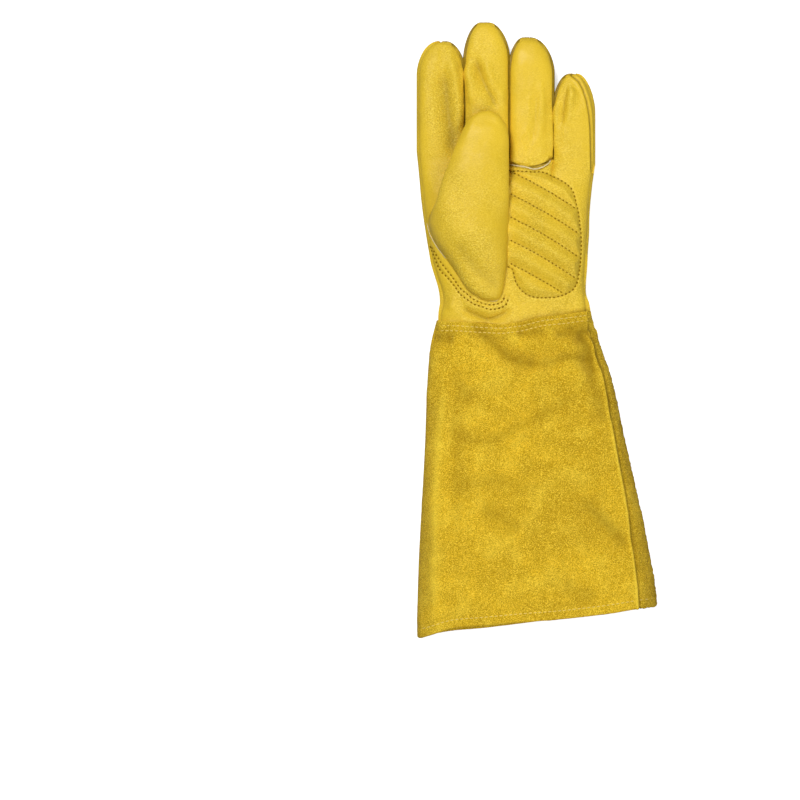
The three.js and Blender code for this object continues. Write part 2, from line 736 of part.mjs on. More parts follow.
const palm = sewnPiece(hand, "palm_panel", leatherThickness);
addMesh("palm_panel", toGeometry(toSolid(palm).subtract(toSolid(thumbHole()))), leather);
const handPieces = ["middle_finger_front", "ring_finger_front", "back_panel", "index_back",
  "fourchette_index_middle", "fourchette_middle_ring", "fourchette_ring_little"];
for (const name of handPieces) addMesh(name, sewnPiece(hand, name, leatherThickness), leather);
for (const name of ["thumb_outer", "thumb_inner"]) {
  addMesh(name, sewnPiece(thumb, name, leatherThickness), leather);
}
for (const name of ["cuff", "cuff_gore"]) {
  addMesh(name, sewnPiece(cuffSurface, name, cuffWall), suede);
}

export default group;
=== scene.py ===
"""A rose pruning gauntlet for the left hand, lying on its back: leather hand, bag thumb, suede cuff."""

import json
import math

import bpy
import numpy as np
from bpy.props import FloatProperty, FloatVectorProperty, PointerProperty
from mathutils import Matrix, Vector, noise
from mathutils.bvhtree import BVHTree
from mathutils.kdtree import KDTree

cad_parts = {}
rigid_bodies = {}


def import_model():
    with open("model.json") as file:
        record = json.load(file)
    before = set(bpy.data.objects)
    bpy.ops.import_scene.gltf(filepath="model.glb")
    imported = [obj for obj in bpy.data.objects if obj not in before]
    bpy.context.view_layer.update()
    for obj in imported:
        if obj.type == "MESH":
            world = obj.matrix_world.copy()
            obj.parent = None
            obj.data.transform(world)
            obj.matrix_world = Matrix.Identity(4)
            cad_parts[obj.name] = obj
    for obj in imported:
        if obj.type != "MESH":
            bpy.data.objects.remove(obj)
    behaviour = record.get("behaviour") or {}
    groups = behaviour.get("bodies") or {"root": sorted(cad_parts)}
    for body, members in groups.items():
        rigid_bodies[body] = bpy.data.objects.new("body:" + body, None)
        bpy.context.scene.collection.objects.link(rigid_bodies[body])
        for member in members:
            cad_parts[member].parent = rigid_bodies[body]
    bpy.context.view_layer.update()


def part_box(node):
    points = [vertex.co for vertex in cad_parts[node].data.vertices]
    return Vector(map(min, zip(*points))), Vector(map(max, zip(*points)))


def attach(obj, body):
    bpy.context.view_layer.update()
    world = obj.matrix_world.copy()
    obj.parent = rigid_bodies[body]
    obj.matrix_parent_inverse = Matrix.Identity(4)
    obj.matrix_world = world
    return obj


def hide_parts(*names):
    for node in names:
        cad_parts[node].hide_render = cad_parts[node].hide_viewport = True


bl_info = {
    "name": "Rose gauntlet",
    "version": (1, 0, 0),
    "blender": (4, 5, 0),
    "location": "View3D > Sidebar > Gauntlet",
    "description": "Builds the leather and suede pieces, seams and stage of a rose pruning gauntlet",
    "category": "Add Mesh",
}

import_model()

# Shapes are worked out in millimetres, with Y counted from the wrist, and made in metres.
MM = 0.001


def box_mm(node):
    low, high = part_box(node)
    return low / MM, high / MM


# Corners of the CAD's pieces, in mm
CUFF_LOW, CUFF_HIGH = box_mm("cuff")
THUMB_LOW, THUMB_HIGH = box_mm("thumb_outer")
GORE_HIGH = box_mm("cuff_gore")[1]
PALM_LOW = box_mm("palm_panel")[0]
MIDDLE_HIGH = box_mm("middle_finger_front")[1]
RING_HIGH = box_mm("ring_finger_front")[1]
INDEX_HIGH = box_mm("index_back")[1]
# The glove's main sizes in mm, worked out from those corners wherever they show there
WRIST_Y = CUFF_HIGH.y
CUFF_LENGTH = CUFF_HIGH.y - CUFF_LOW.y
HEM_WIDTH = GORE_HIGH.x - CUFF_LOW.x
MOUTH_HEIGHT = CUFF_HIGH.z
INDEX_WIDTH = 31.5
MIDDLE_WIDTH = 30.5
RING_WIDTH = 30.0
LITTLE_WIDTH = 27.5
FINGER_GAP = 0.9
HAND_LEFT = PALM_LOW.x
HAND_WIDTH = INDEX_WIDTH + MIDDLE_WIDTH + RING_WIDTH + LITTLE_WIDTH + 3 * FINGER_GAP
INDEX_REACH = INDEX_HIGH.y - WRIST_Y
MIDDLE_REACH = MIDDLE_HIGH.y - WRIST_Y
RING_REACH = RING_HIGH.y - WRIST_Y
LITTLE_REACH = 171.9
THUMB_LENGTH = THUMB_HIGH.y - THUMB_LOW.y
THUMB_BASE = THUMB_LOW.y - WRIST_Y
THUMB_RIGHT = THUMB_HIGH.x
THUMB_WIDTH = 57.0

# Heights, lengths and gaps of the hand and thumb, in mm
FINGER_HEIGHT = 17.0
FOURCHETTE_WIDTH = 5.6
FOURCHETTE_TIP_WIDTH = 3.2
FOURCHETTE_BULGE = 0.38
HAND_SIDE_BULGE = 0.4
KNUCKLE_HEIGHT = 115.0
VALLEY_LENGTH = 24.0
FINGER_SEAM_DIP = 5.0
PALM_HEIGHT = 24.0
THUMB_HEIGHT = 15.0
LAP_LENGTH = 12.0
LAP_DEPTH = 2.4
REST_CLEARANCE = 0.5
FLOOR_CLEARANCE = 0.6
THUMB_HOLE_INSET = 4.0
THUMB_HOLE_WEB_INSET = 5.0
THUMB_RIM_SINK = 1.0
THUMB_RIM_INSET = 1.5
SIDE_MIDDLE = 0.47 * FINGER_HEIGHT
SIDE_LOW = SIDE_MIDDLE - FOURCHETTE_WIDTH / 2
SIDE_HIGH = SIDE_MIDDLE + FOURCHETTE_WIDTH / 2
BACK_DEPTH = 1.2 * SIDE_LOW

# Widths of the cuff's top and of its gore, and the round of its sides and hem, in mm
CUFF_TOP_WIDTH = 106.8
CUFF_TOP_SHIFT = -16.6
CUFF_SIDE_BULGE = 0.6
GORE_TOP_WIDTH = 2.5
GORE_HEM_WIDTH = 12.6
HEM_RADIUS = 1.5

# Shares of a width or length, and powers that make a section squarer
TIP_ROUNDNESS = 1.9
TIP_FLAT = 0.12
PALM_WRAP_RADIAL = 0.16
PALM_WRAP_ULNAR = 0.85
HEM_MEAN = 0.915
CUFF_TOP_FADE = 0.12
PALM_SQUARENESS = 4.0
FINGER_SQUARENESS = 3.0
CUFF_SQUARENESS = 3.2
THUMB_SQUARENESS = 2.4
WEB_ALONG = 0.407
WEB_BLEND = 0.12


def table(columns, *rows):
    """A short table of sections: its named columns, with a row for each section."""
    return {name: np.array([row[place] for row in rows], float) for place, name in enumerate(columns.split())}


HAND_SECTIONS = table(
    "along radial ulnar crown",
    (0.0, 0.128, 0.041, 0.84),
    (0.1, 0.141, 0.043, 0.84),
    (0.18, 0.132, 0.054, 0.86),
    (0.27, 0.104, 0.053, 0.9),
    (0.35, 0.081, 0.049, 0.94),
    (0.52, 0.052, 0.037, 1.0),
    (0.69, 0.029, 0.032, 0.97),
    (0.86, 0.014, 0.018, 0.86),
    (1.0, 0.0, 0.0, 0.74),
)
CROTCHES = (1.03, 1.023, 0.962, 0.98, 0.95)
# Each finger: name, width, reach, length of its tip, and how far the tip leans as a share of the width
FINGERS = (
    ("index", INDEX_WIDTH, INDEX_REACH, 23.0, 0.03),
    ("middle", MIDDLE_WIDTH, MIDDLE_REACH, 28.0, -0.05),
    ("ring", RING_WIDTH, RING_REACH, 25.0, -0.11),
    ("little", LITTLE_WIDTH, LITTLE_REACH, 28.0, -0.02),
)
THUMB_SECTIONS = table(
    "along radial ulnar rise lift",
    (0.0, 0.737, 0.158, 0.0, 0.0),
    (0.011, 0.658, 0.119, 0.22, 0.0),
    (0.03, 0.596, 0.09, 0.36, 0.0),
    (0.06, 0.498, 0.07, 0.5, 0.0),
    (0.143, 0.36, 0.04, 0.75, 0.0),
    (0.224, 0.228, 0.026, 0.9, 0.0),
    (0.293, 0.11, 0.014, 0.98, 0.0),
    (0.345, 0.05, 0.008, 1.0, 0.0),
    (0.407, 0.012, 0.0, 1.0, 0.0),
    (0.455, 0.03, 0.0, 1.0, 0.14),
    (0.525, 0.1, 0.0, 1.0, 0.3),
    (0.63, 0.167, 0.0, 1.0, 0.42),
    (0.72, 0.25, 0.0, 0.99, 0.42),
    (0.8, 0.325, 0.0, 0.96, 0.42),
    (0.86, 0.385, 0.004, 0.9, 0.42),
    (0.91, 0.44, 0.025, 0.8, 0.42),
    (0.95, 0.495, 0.07, 0.65, 0.42),
    (0.98, 0.565, 0.13, 0.5, 0.45),
    (1.0, 0.67, 0.205, 0.35, 0.5),
)
CUFF_SECTIONS = table(
    "along radial ulnar crown",
    (0.0, 0.0, 0.0, 0.68),
    (0.082, 0.31, 0.135, 0.68),
    (0.213, 0.487, 0.326, 0.72),
    (0.389, 0.59, 0.489, 0.8),
    (0.565, 0.744, 0.66, 0.88),
    (0.741, 0.9, 0.82, 0.95),
    (0.917, 0.99, 0.965, 1.0),
    (1.0, 1.0, 1.0, 1.0),
)
HEM_LINE = table(
    "across front back",
    (0.0, 1.0, 1.0),
    (0.06, 0.985, 0.99),
    (0.14, 0.966, 0.98),
    (0.26, 0.957, 0.972),
    (0.43, 0.945, 0.957),
    (0.6, 0.935, 0.94),
    (0.78, 0.92, 0.92),
    (0.92, 0.905, 0.905),
    (1.0, 0.9, 0.9),
)

# Soft dents in the cuff's front: place and size as shares of its width and length, and depth in mm.
CUFF_DENTS = table(
    "across along wide long depth",
    (0.28, 0.12, 0.13, 0.05, 2.3),
    (0.72, 0.17, 0.1, 0.09, 2.0),
    (0.55, 0.42, 0.16, 0.14, 1.6),
    (0.3, 0.66, 0.12, 0.16, 1.6),
    (0.76, 0.78, 0.1, 0.18, 2.0),
)

# Creases in the front of the hand, in mm from the wrist: width, depth (negative for a ridge), line
HAND_CREASES = (
    (6.5, 3.0, ((-67.0, 176.0), (-64.6, 165.0), (-62.6, 148.0), (-60.0, 131.0), (-58.0, 112.0))),
    (3.4, -2.4, ((-61.5, 185.0), (-58.0, 167.0), (-56.2, 152.0), (-55.0, 132.0))),
    (5.0, 0.5, ((-70.0, 187.0), (-61.0, 187.5))),
    (3.6, 2.8, ((-43.5, 184.0), (-39.5, 170.6), (-32.5, 156.6), (-28.0, 147.0))),
    (5.0, 0.8, ((-46.5, 185.0), (-42.0, 171.0))),
    (3.4, -1.8, ((-49.0, 180.0), (-45.5, 150.0))),
    (2.8, -1.2, ((-38.0, 180.0), (-30.0, 157.0))),
    (2.4, 1.1, ((-0.5, 160.0), (-1.8, 138.0), (-4.5, 123.0))),
    (2.2, -0.5, ((3.0, 168.0), (2.0, 138.0))),
    (1.8, 0.5, ((-9.5, 130.0), (-6.5, 117.0))),
    (1.6, 0.6, ((2.0, 114.8), (9.8, 117.4))),
    (3.2, -2.0, ((23.5, 163.0), (21.0, 147.0))),
    (2.6, 2.2, ((20.5, 163.0), (18.2, 150.0), (16.5, 136.0))),
    (2.2, -1.2, ((14.5, 155.0), (11.8, 140.0), (10.4, 116.0))),
    (3.4, 0.35, ((14.5, 121.0), (27.0, 122.5))),
    (3.2, -0.8, ((-55.0, 12.5), (-43.8, 8.0), (-34.7, 6.0), (-27.0, 7.0), (-20.0, 12.5))),
    (3.0, 3.2, ((-54.0, 7.4), (-43.4, 3.4), (-36.7, 0.6), (-29.7, 1.6), (-18.0, 7.4))),
    (2.2, -0.8, ((-59.2, 16.7), (-60.6, 6.2))),
    (3.0, 0.8, ((-55.3, 15.9), (-49.4, 6.6))),
    (4.0, 0.8, ((-15.0, 19.8), (-10.9, 10.0))),
    (4.5, 0.8, ((20.0, 14.0), (27.0, 12.0))),
    (4.0, 0.6, ((-1.5, 6.4), (7.0, 7.4))),
)

# Where the leather's grain shows most: middle and half size in mm, and strength
HAND_GRAIN = (
    (-64.0, 150.0, 16.0, 56.0, 1.0),
    (-40.0, 168.0, 15.0, 40.0, 0.7),
    (19.0, 135.0, 12.0, 34.0, 0.75),
    (-2.0, 135.0, 14.0, 30.0, 0.45),
    (-10.0, 12.0, 60.0, 18.0, 0.8),
    (8.0, 62.0, 45.0, 62.0, 0.85),
)
GRAIN_ELSEWHERE = 0.25
THUMB_GRAIN = (
    (-45.0, 36.0, 22.0, 30.0, 1.0),
    (-62.0, 80.0, 14.0, 34.0, 0.85),
    (-38.0, 90.0, 24.0, 22.0, 0.5),
)

# The little finger's outer seam, where it shows on the front
LITTLE_SEAM = (
    (23.6, 171.6),
    (28.7, 167.2),
    (32.2, 160.9),
    (34.6, 153.2),
    (36.4, 142.7),
    (37.2, 133.9),
    (37.4, 125.2),
    (37.6, 117.0),
    (38.2, 104.0),
)

# Creases in the thumb's top and folds in the cuff's front, in mm from the wrist: width, depth, line
# The low ridge round the thumb's tip, which also gets a painted highlight
THUMB_TIP_CREASE = (
    (-51.0, 125.0),
    (-48.6, 131.0),
    (-43.8, 140.0),
    (-37.5, 143.6),
    (-30.5, 141.4),
    (-24.5, 133.0),
)
THUMB_CREASES = (
    (2.2, -0.5, THUMB_TIP_CREASE),
    (7.5, 1.7, ((-60.0, 55.0), (-50.0, 42.5), (-43.5, 34.5), (-35.0, 28.0), (-26.0, 20.0))),
    (5.0, -0.7, ((-60.0, 36.6), (-48.7, 24.5), (-38.2, 18.0))),
    (14.0, -0.5, ((-58.0, 64.0), (-46.0, 60.0), (-34.0, 50.0))),
    (9.0, 0.5, ((-37.0, 84.0), (-28.0, 78.0))),
    (5.0, 0.4, ((-36.0, 106.0), (-30.0, 98.0))),
    (3.0, 0.3, ((-66.0, 62.0), (-60.0, 50.0))),
)
CUFF_CREASES = (
    (8.0, 1.5, ((-66.0, -72.0), (-50.0, -83.5), (-34.0, -84.8), (-13.0, -74.3), (8.0, -63.8), (36.0, -46.0))),
    (5.0, 0.6, ((-36.5, -93.0), (-11.5, -84.8), (4.0, -74.3))),
    (5.0, 2.2, ((-78.0, -11.5), (-70.0, -13.0), (-58.0, -14.5))),
    (6.5, 3.2, ((-48.0, -4.0), (-38.0, -11.0), (-31.0, -17.6), (-20.7, -26.0), (-8.0, -30.2), (6.0, -31.0))),
    (6.5, 2.0, ((0.0, -31.0), (12.0, -29.0), (22.0, -26.5), (40.0, -28.0))),
    (5.5, 2.0, ((-16.0, -9.0), (-4.0, -9.5), (7.0, -9.0))),
    (6.0, 3.2, ((10.0, -11.0), (26.0, -8.5), (44.0, -7.0))),
    (7.0, 3.0, ((28.0, -8.0), (37.0, -22.0), (40.0, -40.0))),
    (9.0, 1.8, ((36.0, -34.0), (42.0, -50.0), (48.0, -74.0))),
    (10.0, 1.5, ((-62.0, -34.0), (-54.0, -46.0), (-46.0, -60.0))),
    (9.0, 2.2, ((28.0, -122.0), (42.0, -137.0), (52.0, -146.0), (66.0, -162.0))),
    (14.0, 1.6, ((-42.0, -130.0), (-10.0, -148.0))),
    (12.0, 1.2, ((-60.0, -120.0), (-30.0, -112.0), (0.0, -120.0))),
    (14.0, 1.4, ((16.0, -184.0), (28.0, -190.0), (42.0, -194.0))),
    (5.5, -1.5, ((-64.0, -34.0), (-69.0, -90.0), (-71.0, -127.0), (-72.0, -183.0), (-71.0, -214.0))),
    (9.0, 1.0, ((-56.0, -42.0), (-58.0, -100.0), (-55.0, -160.0))),
    (0.9, 1.1, ((29.0, -202.5), (33.5, -208.0))),
    (0.8, 0.9, ((26.0, -204.5), (29.0, -208.5))),
)
# How much the cuff's folds stand out, in height and in shade
CUFF_FOLD_SHARES = (1.25, 1.5)
# Creases narrower than this, in mm, are sharp folds; wider ones are soft
SHARP_CREASE = 4.5
# How much of a crease's depth in mm goes into its shade, and the least and most of that shade
CREASE_SHADE = 0.17
CREASE_SHADE_LIMITS = (-0.4, 0.5)

# Rows of stitches below the cuff's cut top edge: their distance from it, depth and width in mm
CUFF_ROW_INSETS = (2.8, 6.3)
CUFF_ROW_DEPTH = 0.5
CUFF_ROW_WIDTH = 1.0
# Distance of the hem's row of stitches from the hem, in mm
HEM_ROW_INSET = 6.2
# Width of the darker, mottled strip below the cut top edge, in mm, and how dark it is
TOP_STRIP_WIDTH = 9.5
TOP_STRIP_DARKNESS = 0.18

# Ridges along the cuff's seam on the front: height or shade, distance from the seam and width in mm
CUFF_SEAM_RIDGES = ((0.8, 1.7, 1.1), (-1.6, -0.7, 0.9))
# These shades are painted: shade in the gap at the seam, and a highlight, negative, on the rolled edge beside
# it
CUFF_SEAM_SHADES = ((0.8, -0.5, 0.7), (-0.5, 1.8, 0.9))
# Where that seam starts below the wrist line, and over what length it grows to its full height, in mm
CUFF_SEAM_START = 7.0
CUFF_SEAM_GROWTH = 12.0

# Folds that the wrist elastic gathers into the back of the hand, in mm from the wrist
ELASTIC_Y = 12.0
GATHER_MIDDLE = -17.0
GATHER_LENGTH = 48.0
GATHER_SPACING = 7.2
GATHER_DEPTH = 2.2

# Sewn lines in the front of the hand: ridges as height (negative for a groove), distance from the line
# and width in mm, and the shade painted along the line and the width of that painted shade in mm
SEWN_LINES = {
    "quilting": (((-0.7, 0.0, 0.9),), (0.4, 0.8)),
    "thumb_rows": (((-0.5, 0.0, 0.8),), (0.35, 0.8)),
    "little_seam": (((-1.0, 0.0, 0.7), (0.4, 1.6, 0.9)), (0.9, 0.6)),
    "ring_seam": (((-1.1, 0.9, 0.7), (0.5, 2.6, 1.2)), (0.85, 1.25)),
}

# Gentle unevenness of each surface: pattern, height in mm, size in mm and seed
HAND_UNEVENNESS = (("ripple", 0.3, 34, 1), ("cloud", 0.25, 9, 11), ("cloud", 0.12, 3.5, 12))
THUMB_UNEVENNESS = (("ripple", 0.35, 30, 4), ("cloud", 0.3, 11, 13), ("cloud", 0.12, 3.5, 14))
CUFF_UNEVENNESS = (("ripple", 0.5, 55, 7), ("cloud", 0.6, 16, 15), ("cloud", 0.2, 5, 16))

# Shade painted down in each skin's seams, negative for a highlight painted along the thumb's rim, and the
# least shade painted on the fourchettes, in the gaps between the fingers
HAND_SEAM_PAINTED_SHADE = 0.85
THUMB_SEAM_PAINTED_SHADE = -0.4
CUFF_SEAM_PAINTED_SHADE = 0.75
FOURCHETTE_PAINTED_SHADE = 0.9
# Depth of the thumb's seams as a share of the hand's
THUMB_SEAM_SHARE = 0.4
# The cuff's pieces: CAD node, material, width and depth of their seams, and size and height of their
# lumps, in mm
CUFF_PIECES = (
    ("cuff", "mustard_suede", (0.9, 0.5), (1.5, 0.08)),
    ("cuff_gore", "rough_suede", (2.0, 1.6), (1.9, 0.75)),
)
# Steps in which a leather wall thins out towards its seams
WALL_STEPS = 9
# How many steps a millimetre has when points are merged that lie in the same place
MERGE_STEPS = 500
# How quickly a relief grows as a surface turns to face up or down
RELIEF_GROWTH = 2.2
# Angle in degrees above which an edge stays sharp, and the lowest that a piece may reach, in mm
SHARP_ANGLE = 50
LOWEST_Z = -0.9 * FLOOR_CLEARANCE

# Stitches: how much of its pitch each covers, the pitches on the cuff in mm, and a hole's size in metres
LEATHER_FILL = 0.45
SUEDE_FILL = 0.72
ELASTIC_FILL = 0.9
CUFF_TOP_PITCH = 3.3
HEM_PITCH = 3.4
# A needle hole is a flat dark disc laid on the leather: painted shade
HOLE_SIZE = (0.0016, 0.0014)
HOLE_FLATNESS = 0.45
# Width of the leather's thread as a share of the suede's, and how far each lies above its surface, in mm
LEATHER_THREAD_SHARE = 0.8
LEATHER_THREAD_LIFT = -0.2
SUEDE_THREAD_LIFT = 0.05
# The elastic's zigzag across the back, in mm
ZIGZAG_ENDS = (-62.0, 30.0)
ZIGZAG_TURN = 3.1
ZIGZAG_HALF_HEIGHT = 2.6
ZIGZAG_PITCH = 2.0

# How far the cuff's cut top edge lies above the wrist line, across the front
CUFF_TOP_LINE = table(
    "x rise",
    (-72.0, -1.2),
    (-56.0, -1.5),
    (-39.5, -2.6),
    (-24.0, -3.4),
    (-10.8, -1.5),
    (2.5, 2.0),
    (20.0, 3.8),
    (38.0, 6.4),
)

# Outline of the quilted pad, in mm from the wrist, its swell and its diagonal lines
PAD_OUTLINE = (
    (-17.9, 35.2),
    (-25.0, 42.0),
    (-26.0, 72.0),
    (-25.0, 103.0),
    (-18.0, 104.1),
    (-3.4, 103.2),
    (4.2, 102.9),
    (13.5, 98.8),
    (22.8, 92.4),
    (27.0, 81.0),
    (29.5, 66.0),
    (30.5, 50.0),
    (28.8, 31.5),
    (25.3, 21.7),
    (16.0, 16.6),
    (2.0, 15.3),
    (-7.6, 17.5),
    (-15.2, 25.6),
)
PAD_RISE = 3.3
PAD_VALLEY_WIDTH = 4.2
PAD_LINES = 5
PAD_LINE_TOP = 103.6
PAD_LINE_ENDS = (-18.6, 31.0)
PAD_LINE_SPACING = 16.2
PAD_LINE_SLOPE = -0.585
PAD_LINE_WAVE = 1.2
PAD_LINE_WAVELENGTH = 16

# Rows of stitches round the hole that the thumb is sewn into, in mm from the wrist
THUMB_ROW_OUTER = (
    (-74.9, 51.1),
    (-69.0, 36.1),
    (-63.6, 30.1),
    (-57.8, 23.1),
    (-54.0, 17.8),
    (-45.4, 11.3),
    (-39.6, 9.2),
    (-33.6, 7.1),
    (-27.2, 7.9),
    (-22.4, 10.3),
    (-20.2, 16.1),
)
THUMB_ROW_INNER = (
    (-73.8, 50.4),
    (-67.9, 40.6),
    (-62.6, 33.6),
    (-57.8, 27.3),
    (-54.0, 21.7),
    (-48.0, 16.8),
    (-44.5, 14.0),
    (-38.9, 11.6),
    (-33.6, 10.3),
    (-28.4, 10.9),
    (-24.5, 13.0),
    (-22.9, 17.5),
)

# Cut edges of leather that show pale, in mm from the wrist
THUMB_EDGE = ((-77.2, 68.0), (-76.2, 63.5), (-74.8, 59.0), (-71.2, 52.3), (-67.5, 47.0), (-63.8, 42.4))
THUMB_FOOT_EDGE = ((-48.6, 21.4), (-44.5, 18.4), (-38.8, 15.0), (-33.0, 13.2), (-29.6, 13.0), (-27.2, 14.4))
RING_SEAM_EDGE = (
    (-19.4, 109.0),
    (-14.4, 107.7),
    (-8.8, 106.9),
    (-3.2, 105.4),
    (2.4, 106.4),
    (7.7, 109.6),
    (9.4, 112.4),
)
# Name, line, width, height and lift of each cut edge, in mm
CUT_EDGES = (
    ("thumb_cut_edge", THUMB_EDGE, 0.6, 0.7, 0.25),
    ("thumb_foot_cut_edge", THUMB_FOOT_EDGE, 0.55, 0.7, 0.25),
    ("ring_seam_cut_edge", RING_SEAM_EDGE, 1.1, 0.9, 0.1),
)

# Area lights: name, place and size in metres, and share of the key light's power
LIGHTS = (
    ("key_light", (-0.85, 1.45, 2.6), 1.0, 1.0),
    ("fill_light", (1.3, -1.5, 2.3), 2.4, 0.75),
)
# The white paper, as the camera sees it and as it throws light back
PAPER_SEEN = (0.92, 0.92, 0.92, 1)
PAPER_THROWN = (0.25, 0.25, 0.25, 1)
FLOOR_SIZE = 8
SENSOR_WIDTH = 36


# Curves, distances and noise


def lerp(start, end, share):
    return start + (end - start) * share


def smooth(value):
    value = np.clip(value, 0, 1)
    return value * value * (3 - 2 * value)


def profile(across, squareness):
    """Height of a rounded section as a share: 0 at both sides and 1 in the middle."""
    return np.sqrt(np.maximum(0, 1 - np.abs(2 * across - 1) ** squareness))


def look_up(rows, key, place, column):
    """Reads a column of a table in between its rows, on a smooth curve through them."""
    keys, values = rows[key], rows[column]
    place = np.clip(place, keys[0], keys[-1])
    row = np.clip(np.searchsorted(keys, place, side="right") - 1, 0, len(keys) - 2)
    before = np.maximum(np.arange(len(keys)) - 1, 0)
    after = np.minimum(np.arange(len(keys)) + 1, len(keys) - 1)
    slopes = (values[after] - values[before]) / (keys[after] - keys[before])
    span = keys[row + 1] - keys[row]
    share = (place - keys[row]) / span
    rise = values[row + 1] - values[row]
    start, end = slopes[row] * span, slopes[row + 1] * span
    bend = 3 * rise - 2 * start - end + share * (start + end - 2 * rise)
    return values[row] + share * (start + share * bend)


def stack(x, y, z):
    return np.stack(np.broadcast_arrays(x, y, z), axis=-1).astype(float)


def ripple(x, y, wavelength, seed):
    """A gentle uneven swell between -1 and 1, the same each time, for places in mm."""
    total = 0
    for wave in range(5):
        angle = seed * 1.7 + wave * 2.399
        size = wavelength * (0.7 + 0.22 * wave)
        ahead = (x * math.cos(angle) + y * math.sin(angle)) / size
        total = total + np.sin(2 * math.pi * ahead + seed * 3.1 + wave * 1.3)
    return total / 5


def nearest_on_line(x, y, points):
    """Distance in mm from each place to a line, and the share of its length at the nearest place."""
    lengths = np.concatenate([[0], np.cumsum(np.linalg.norm(np.diff(points, axis=0), axis=1))])
    best, along = np.full(np.shape(x), 1e9), np.zeros(np.shape(x))
    for place, ((x0, y0), (x1, y1)) in enumerate(zip(points, points[1:])):
        dx, dy = x1 - x0, y1 - y0
        share = np.clip(((x - x0) * dx + (y - y0) * dy) / max(dx * dx + dy * dy, 1e-9), 0, 1)
        gap = np.hypot(x - x0 - share * dx, y - y0 - share * dy)
        nearer = gap < best
        best = np.where(nearer, gap, best)
        along = np.where(nearer, lerp(lengths[place], lengths[place + 1], share) / lengths[-1], along)
    return best, along


def distance_to_line(x, y, points, closed=False):
    """Distance in mm from each place to a line through points."""
    return nearest_on_line(x, y, list(points) + ([points[0]] if closed else []))[0]


def inside_outline(x, y, points):
    """Whether each place lies inside a closed outline."""
    result = np.zeros(np.shape(x), bool)
    for (x0, y0), (x1, y1) in zip(points, list(points[1:]) + [points[0]]):
        if y0 == y1:
            continue
        crosses = (y0 > y) != (y1 > y)
        result ^= crosses & (x < (x1 - x0) * (y - y0) / (y1 - y0) + x0)
    return result


def curve_through(points, step=0.8, closed=False):
    """Points every step mm along a smooth curve through the given ones."""
    places = np.array(points, float)
    count = len(places)
    dense = []
    for index in range(count if closed else count - 1):
        near = np.arange(index - 1, index + 3)
        a, b, c, d = places[near % count if closed else np.clip(near, 0, count - 1)]
        square, cube = 2 * a - 5 * b + 4 * c - d, 3 * b - a - 3 * c + d
        for share in np.linspace(0, 1, 12, endpoint=False):
            dense.append(0.5 * (2 * b + (c - a) * share + square * share**2 + cube * share**3))
    dense.append(places[0] if closed else places[-1])
    dense = np.array(dense)
    lengths = np.concatenate([[0], np.cumsum(np.linalg.norm(np.diff(dense, axis=0), axis=1))])
    wanted = np.linspace(0, lengths[-1], max(2, int(round(lengths[-1] / step)) + 1))
    return np.stack([np.interp(wanted, lengths, dense[:, axis]) for axis in range(dense.shape[1])], axis=1)


# The pad's smooth outline
PAD_CURVE = [tuple(point) for point in curve_through(PAD_OUTLINE, 4.0, closed=True)[:-1]]


def pad_lines():
    """The slanting runs of stitches across the pad, cut off at its outline."""
    lines = []
    for index in range(PAD_LINES):
        x = np.linspace(*PAD_LINE_ENDS, 200)
        along = x - PAD_LINE_ENDS[0]
        y = PAD_LINE_TOP - index * PAD_LINE_SPACING + PAD_LINE_SLOPE * along
        y = y + PAD_LINE_WAVE * np.sin(along / PAD_LINE_WAVELENGTH)
        kept = inside_outline(x, y, PAD_CURVE)
        lines.append([(x[k], y[k]) for k in np.flatnonzero(kept)[::6]])
    return lines


PAD_DIAGONALS = pad_lines()


def cloud(x, y, size, seed):
    """Soft uneven noise between -1 and 1, with lumps about size mm across."""
    values = np.random.default_rng(seed).uniform(-1, 1, (64, 64))
    x, y = np.asarray(x) / size + 32, np.asarray(y) / size + 32
    column, row = np.floor(x).astype(int), np.floor(y).astype(int)
    right, up = smooth(x - column), smooth(y - row)

    def at(down, across):
        return values[(row + down) % 64, (column + across) % 64]

    return lerp(lerp(at(0, 0), at(0, 1), right), lerp(at(1, 0), at(1, 1), right), up)


def bump_line(distance, width):
    return np.exp(-((distance / width) ** 2))


def ridges(distance, rows):
    """Soft ridges beside a line: height, distance from the line and width of each."""
    return sum(height * bump_line(distance - offset, width) for height, offset, width in rows)


def unevenness(x, y, layers):
    """The sum of a surface's layers of ripples and clouds."""
    patterns = {"ripple": ripple, "cloud": cloud}
    return sum(height * patterns[kind](x, y, size, seed) for kind, height, size, seed in layers)


# Reliefs of the surfaces


def crease_relief(x, y, creases):
    """Height in mm that creases add at each place, and the shade painted in each crease, negative for the
    highlight painted on a ridge.
    """
    height, shade = np.zeros(np.shape(x)), np.zeros(np.shape(x))
    for width, depth, line in creases:
        gap, along = nearest_on_line(x, y, curve_through(line, 4.0))
        fade = smooth(4 * np.minimum(along, 1 - along) + 0.2)
        gap = gap / (width * (0.6 + 0.4 * fade))
        valley = np.exp(-1.3 * gap**1.25) if 0 < depth and width < SHARP_CREASE else bump_line(gap, 1)
        height -= fade * depth * (valley - 0.3 * bump_line(gap - 2.1, 1))
        # A crease gets painted shade; a ridge, with negative depth, gets a painted highlight
        dark = np.clip(CREASE_SHADE * depth, *CREASE_SHADE_LIMITS)
        shade += fade * dark * (0.5 * valley + 0.5 * bump_line(gap, 0.4))
    return height, np.clip(shade, -1, 1)


def grain_strength(x, y, spots):
    """How plainly the leather's grain shows at each place, from 0 to 1."""
    strength = GRAIN_ELSEWHERE + np.zeros(np.shape(x))
    for middle_x, middle_y, wide, long, most in spots:
        gap = np.hypot((x - middle_x) / wide, (y - middle_y) / long)
        strength = np.maximum(strength, lerp(strength, most, 1 - smooth(gap - 0.4)))
    return np.clip(strength * (1 + 0.4 * cloud(x, y, 9, 31)), 0, 1)


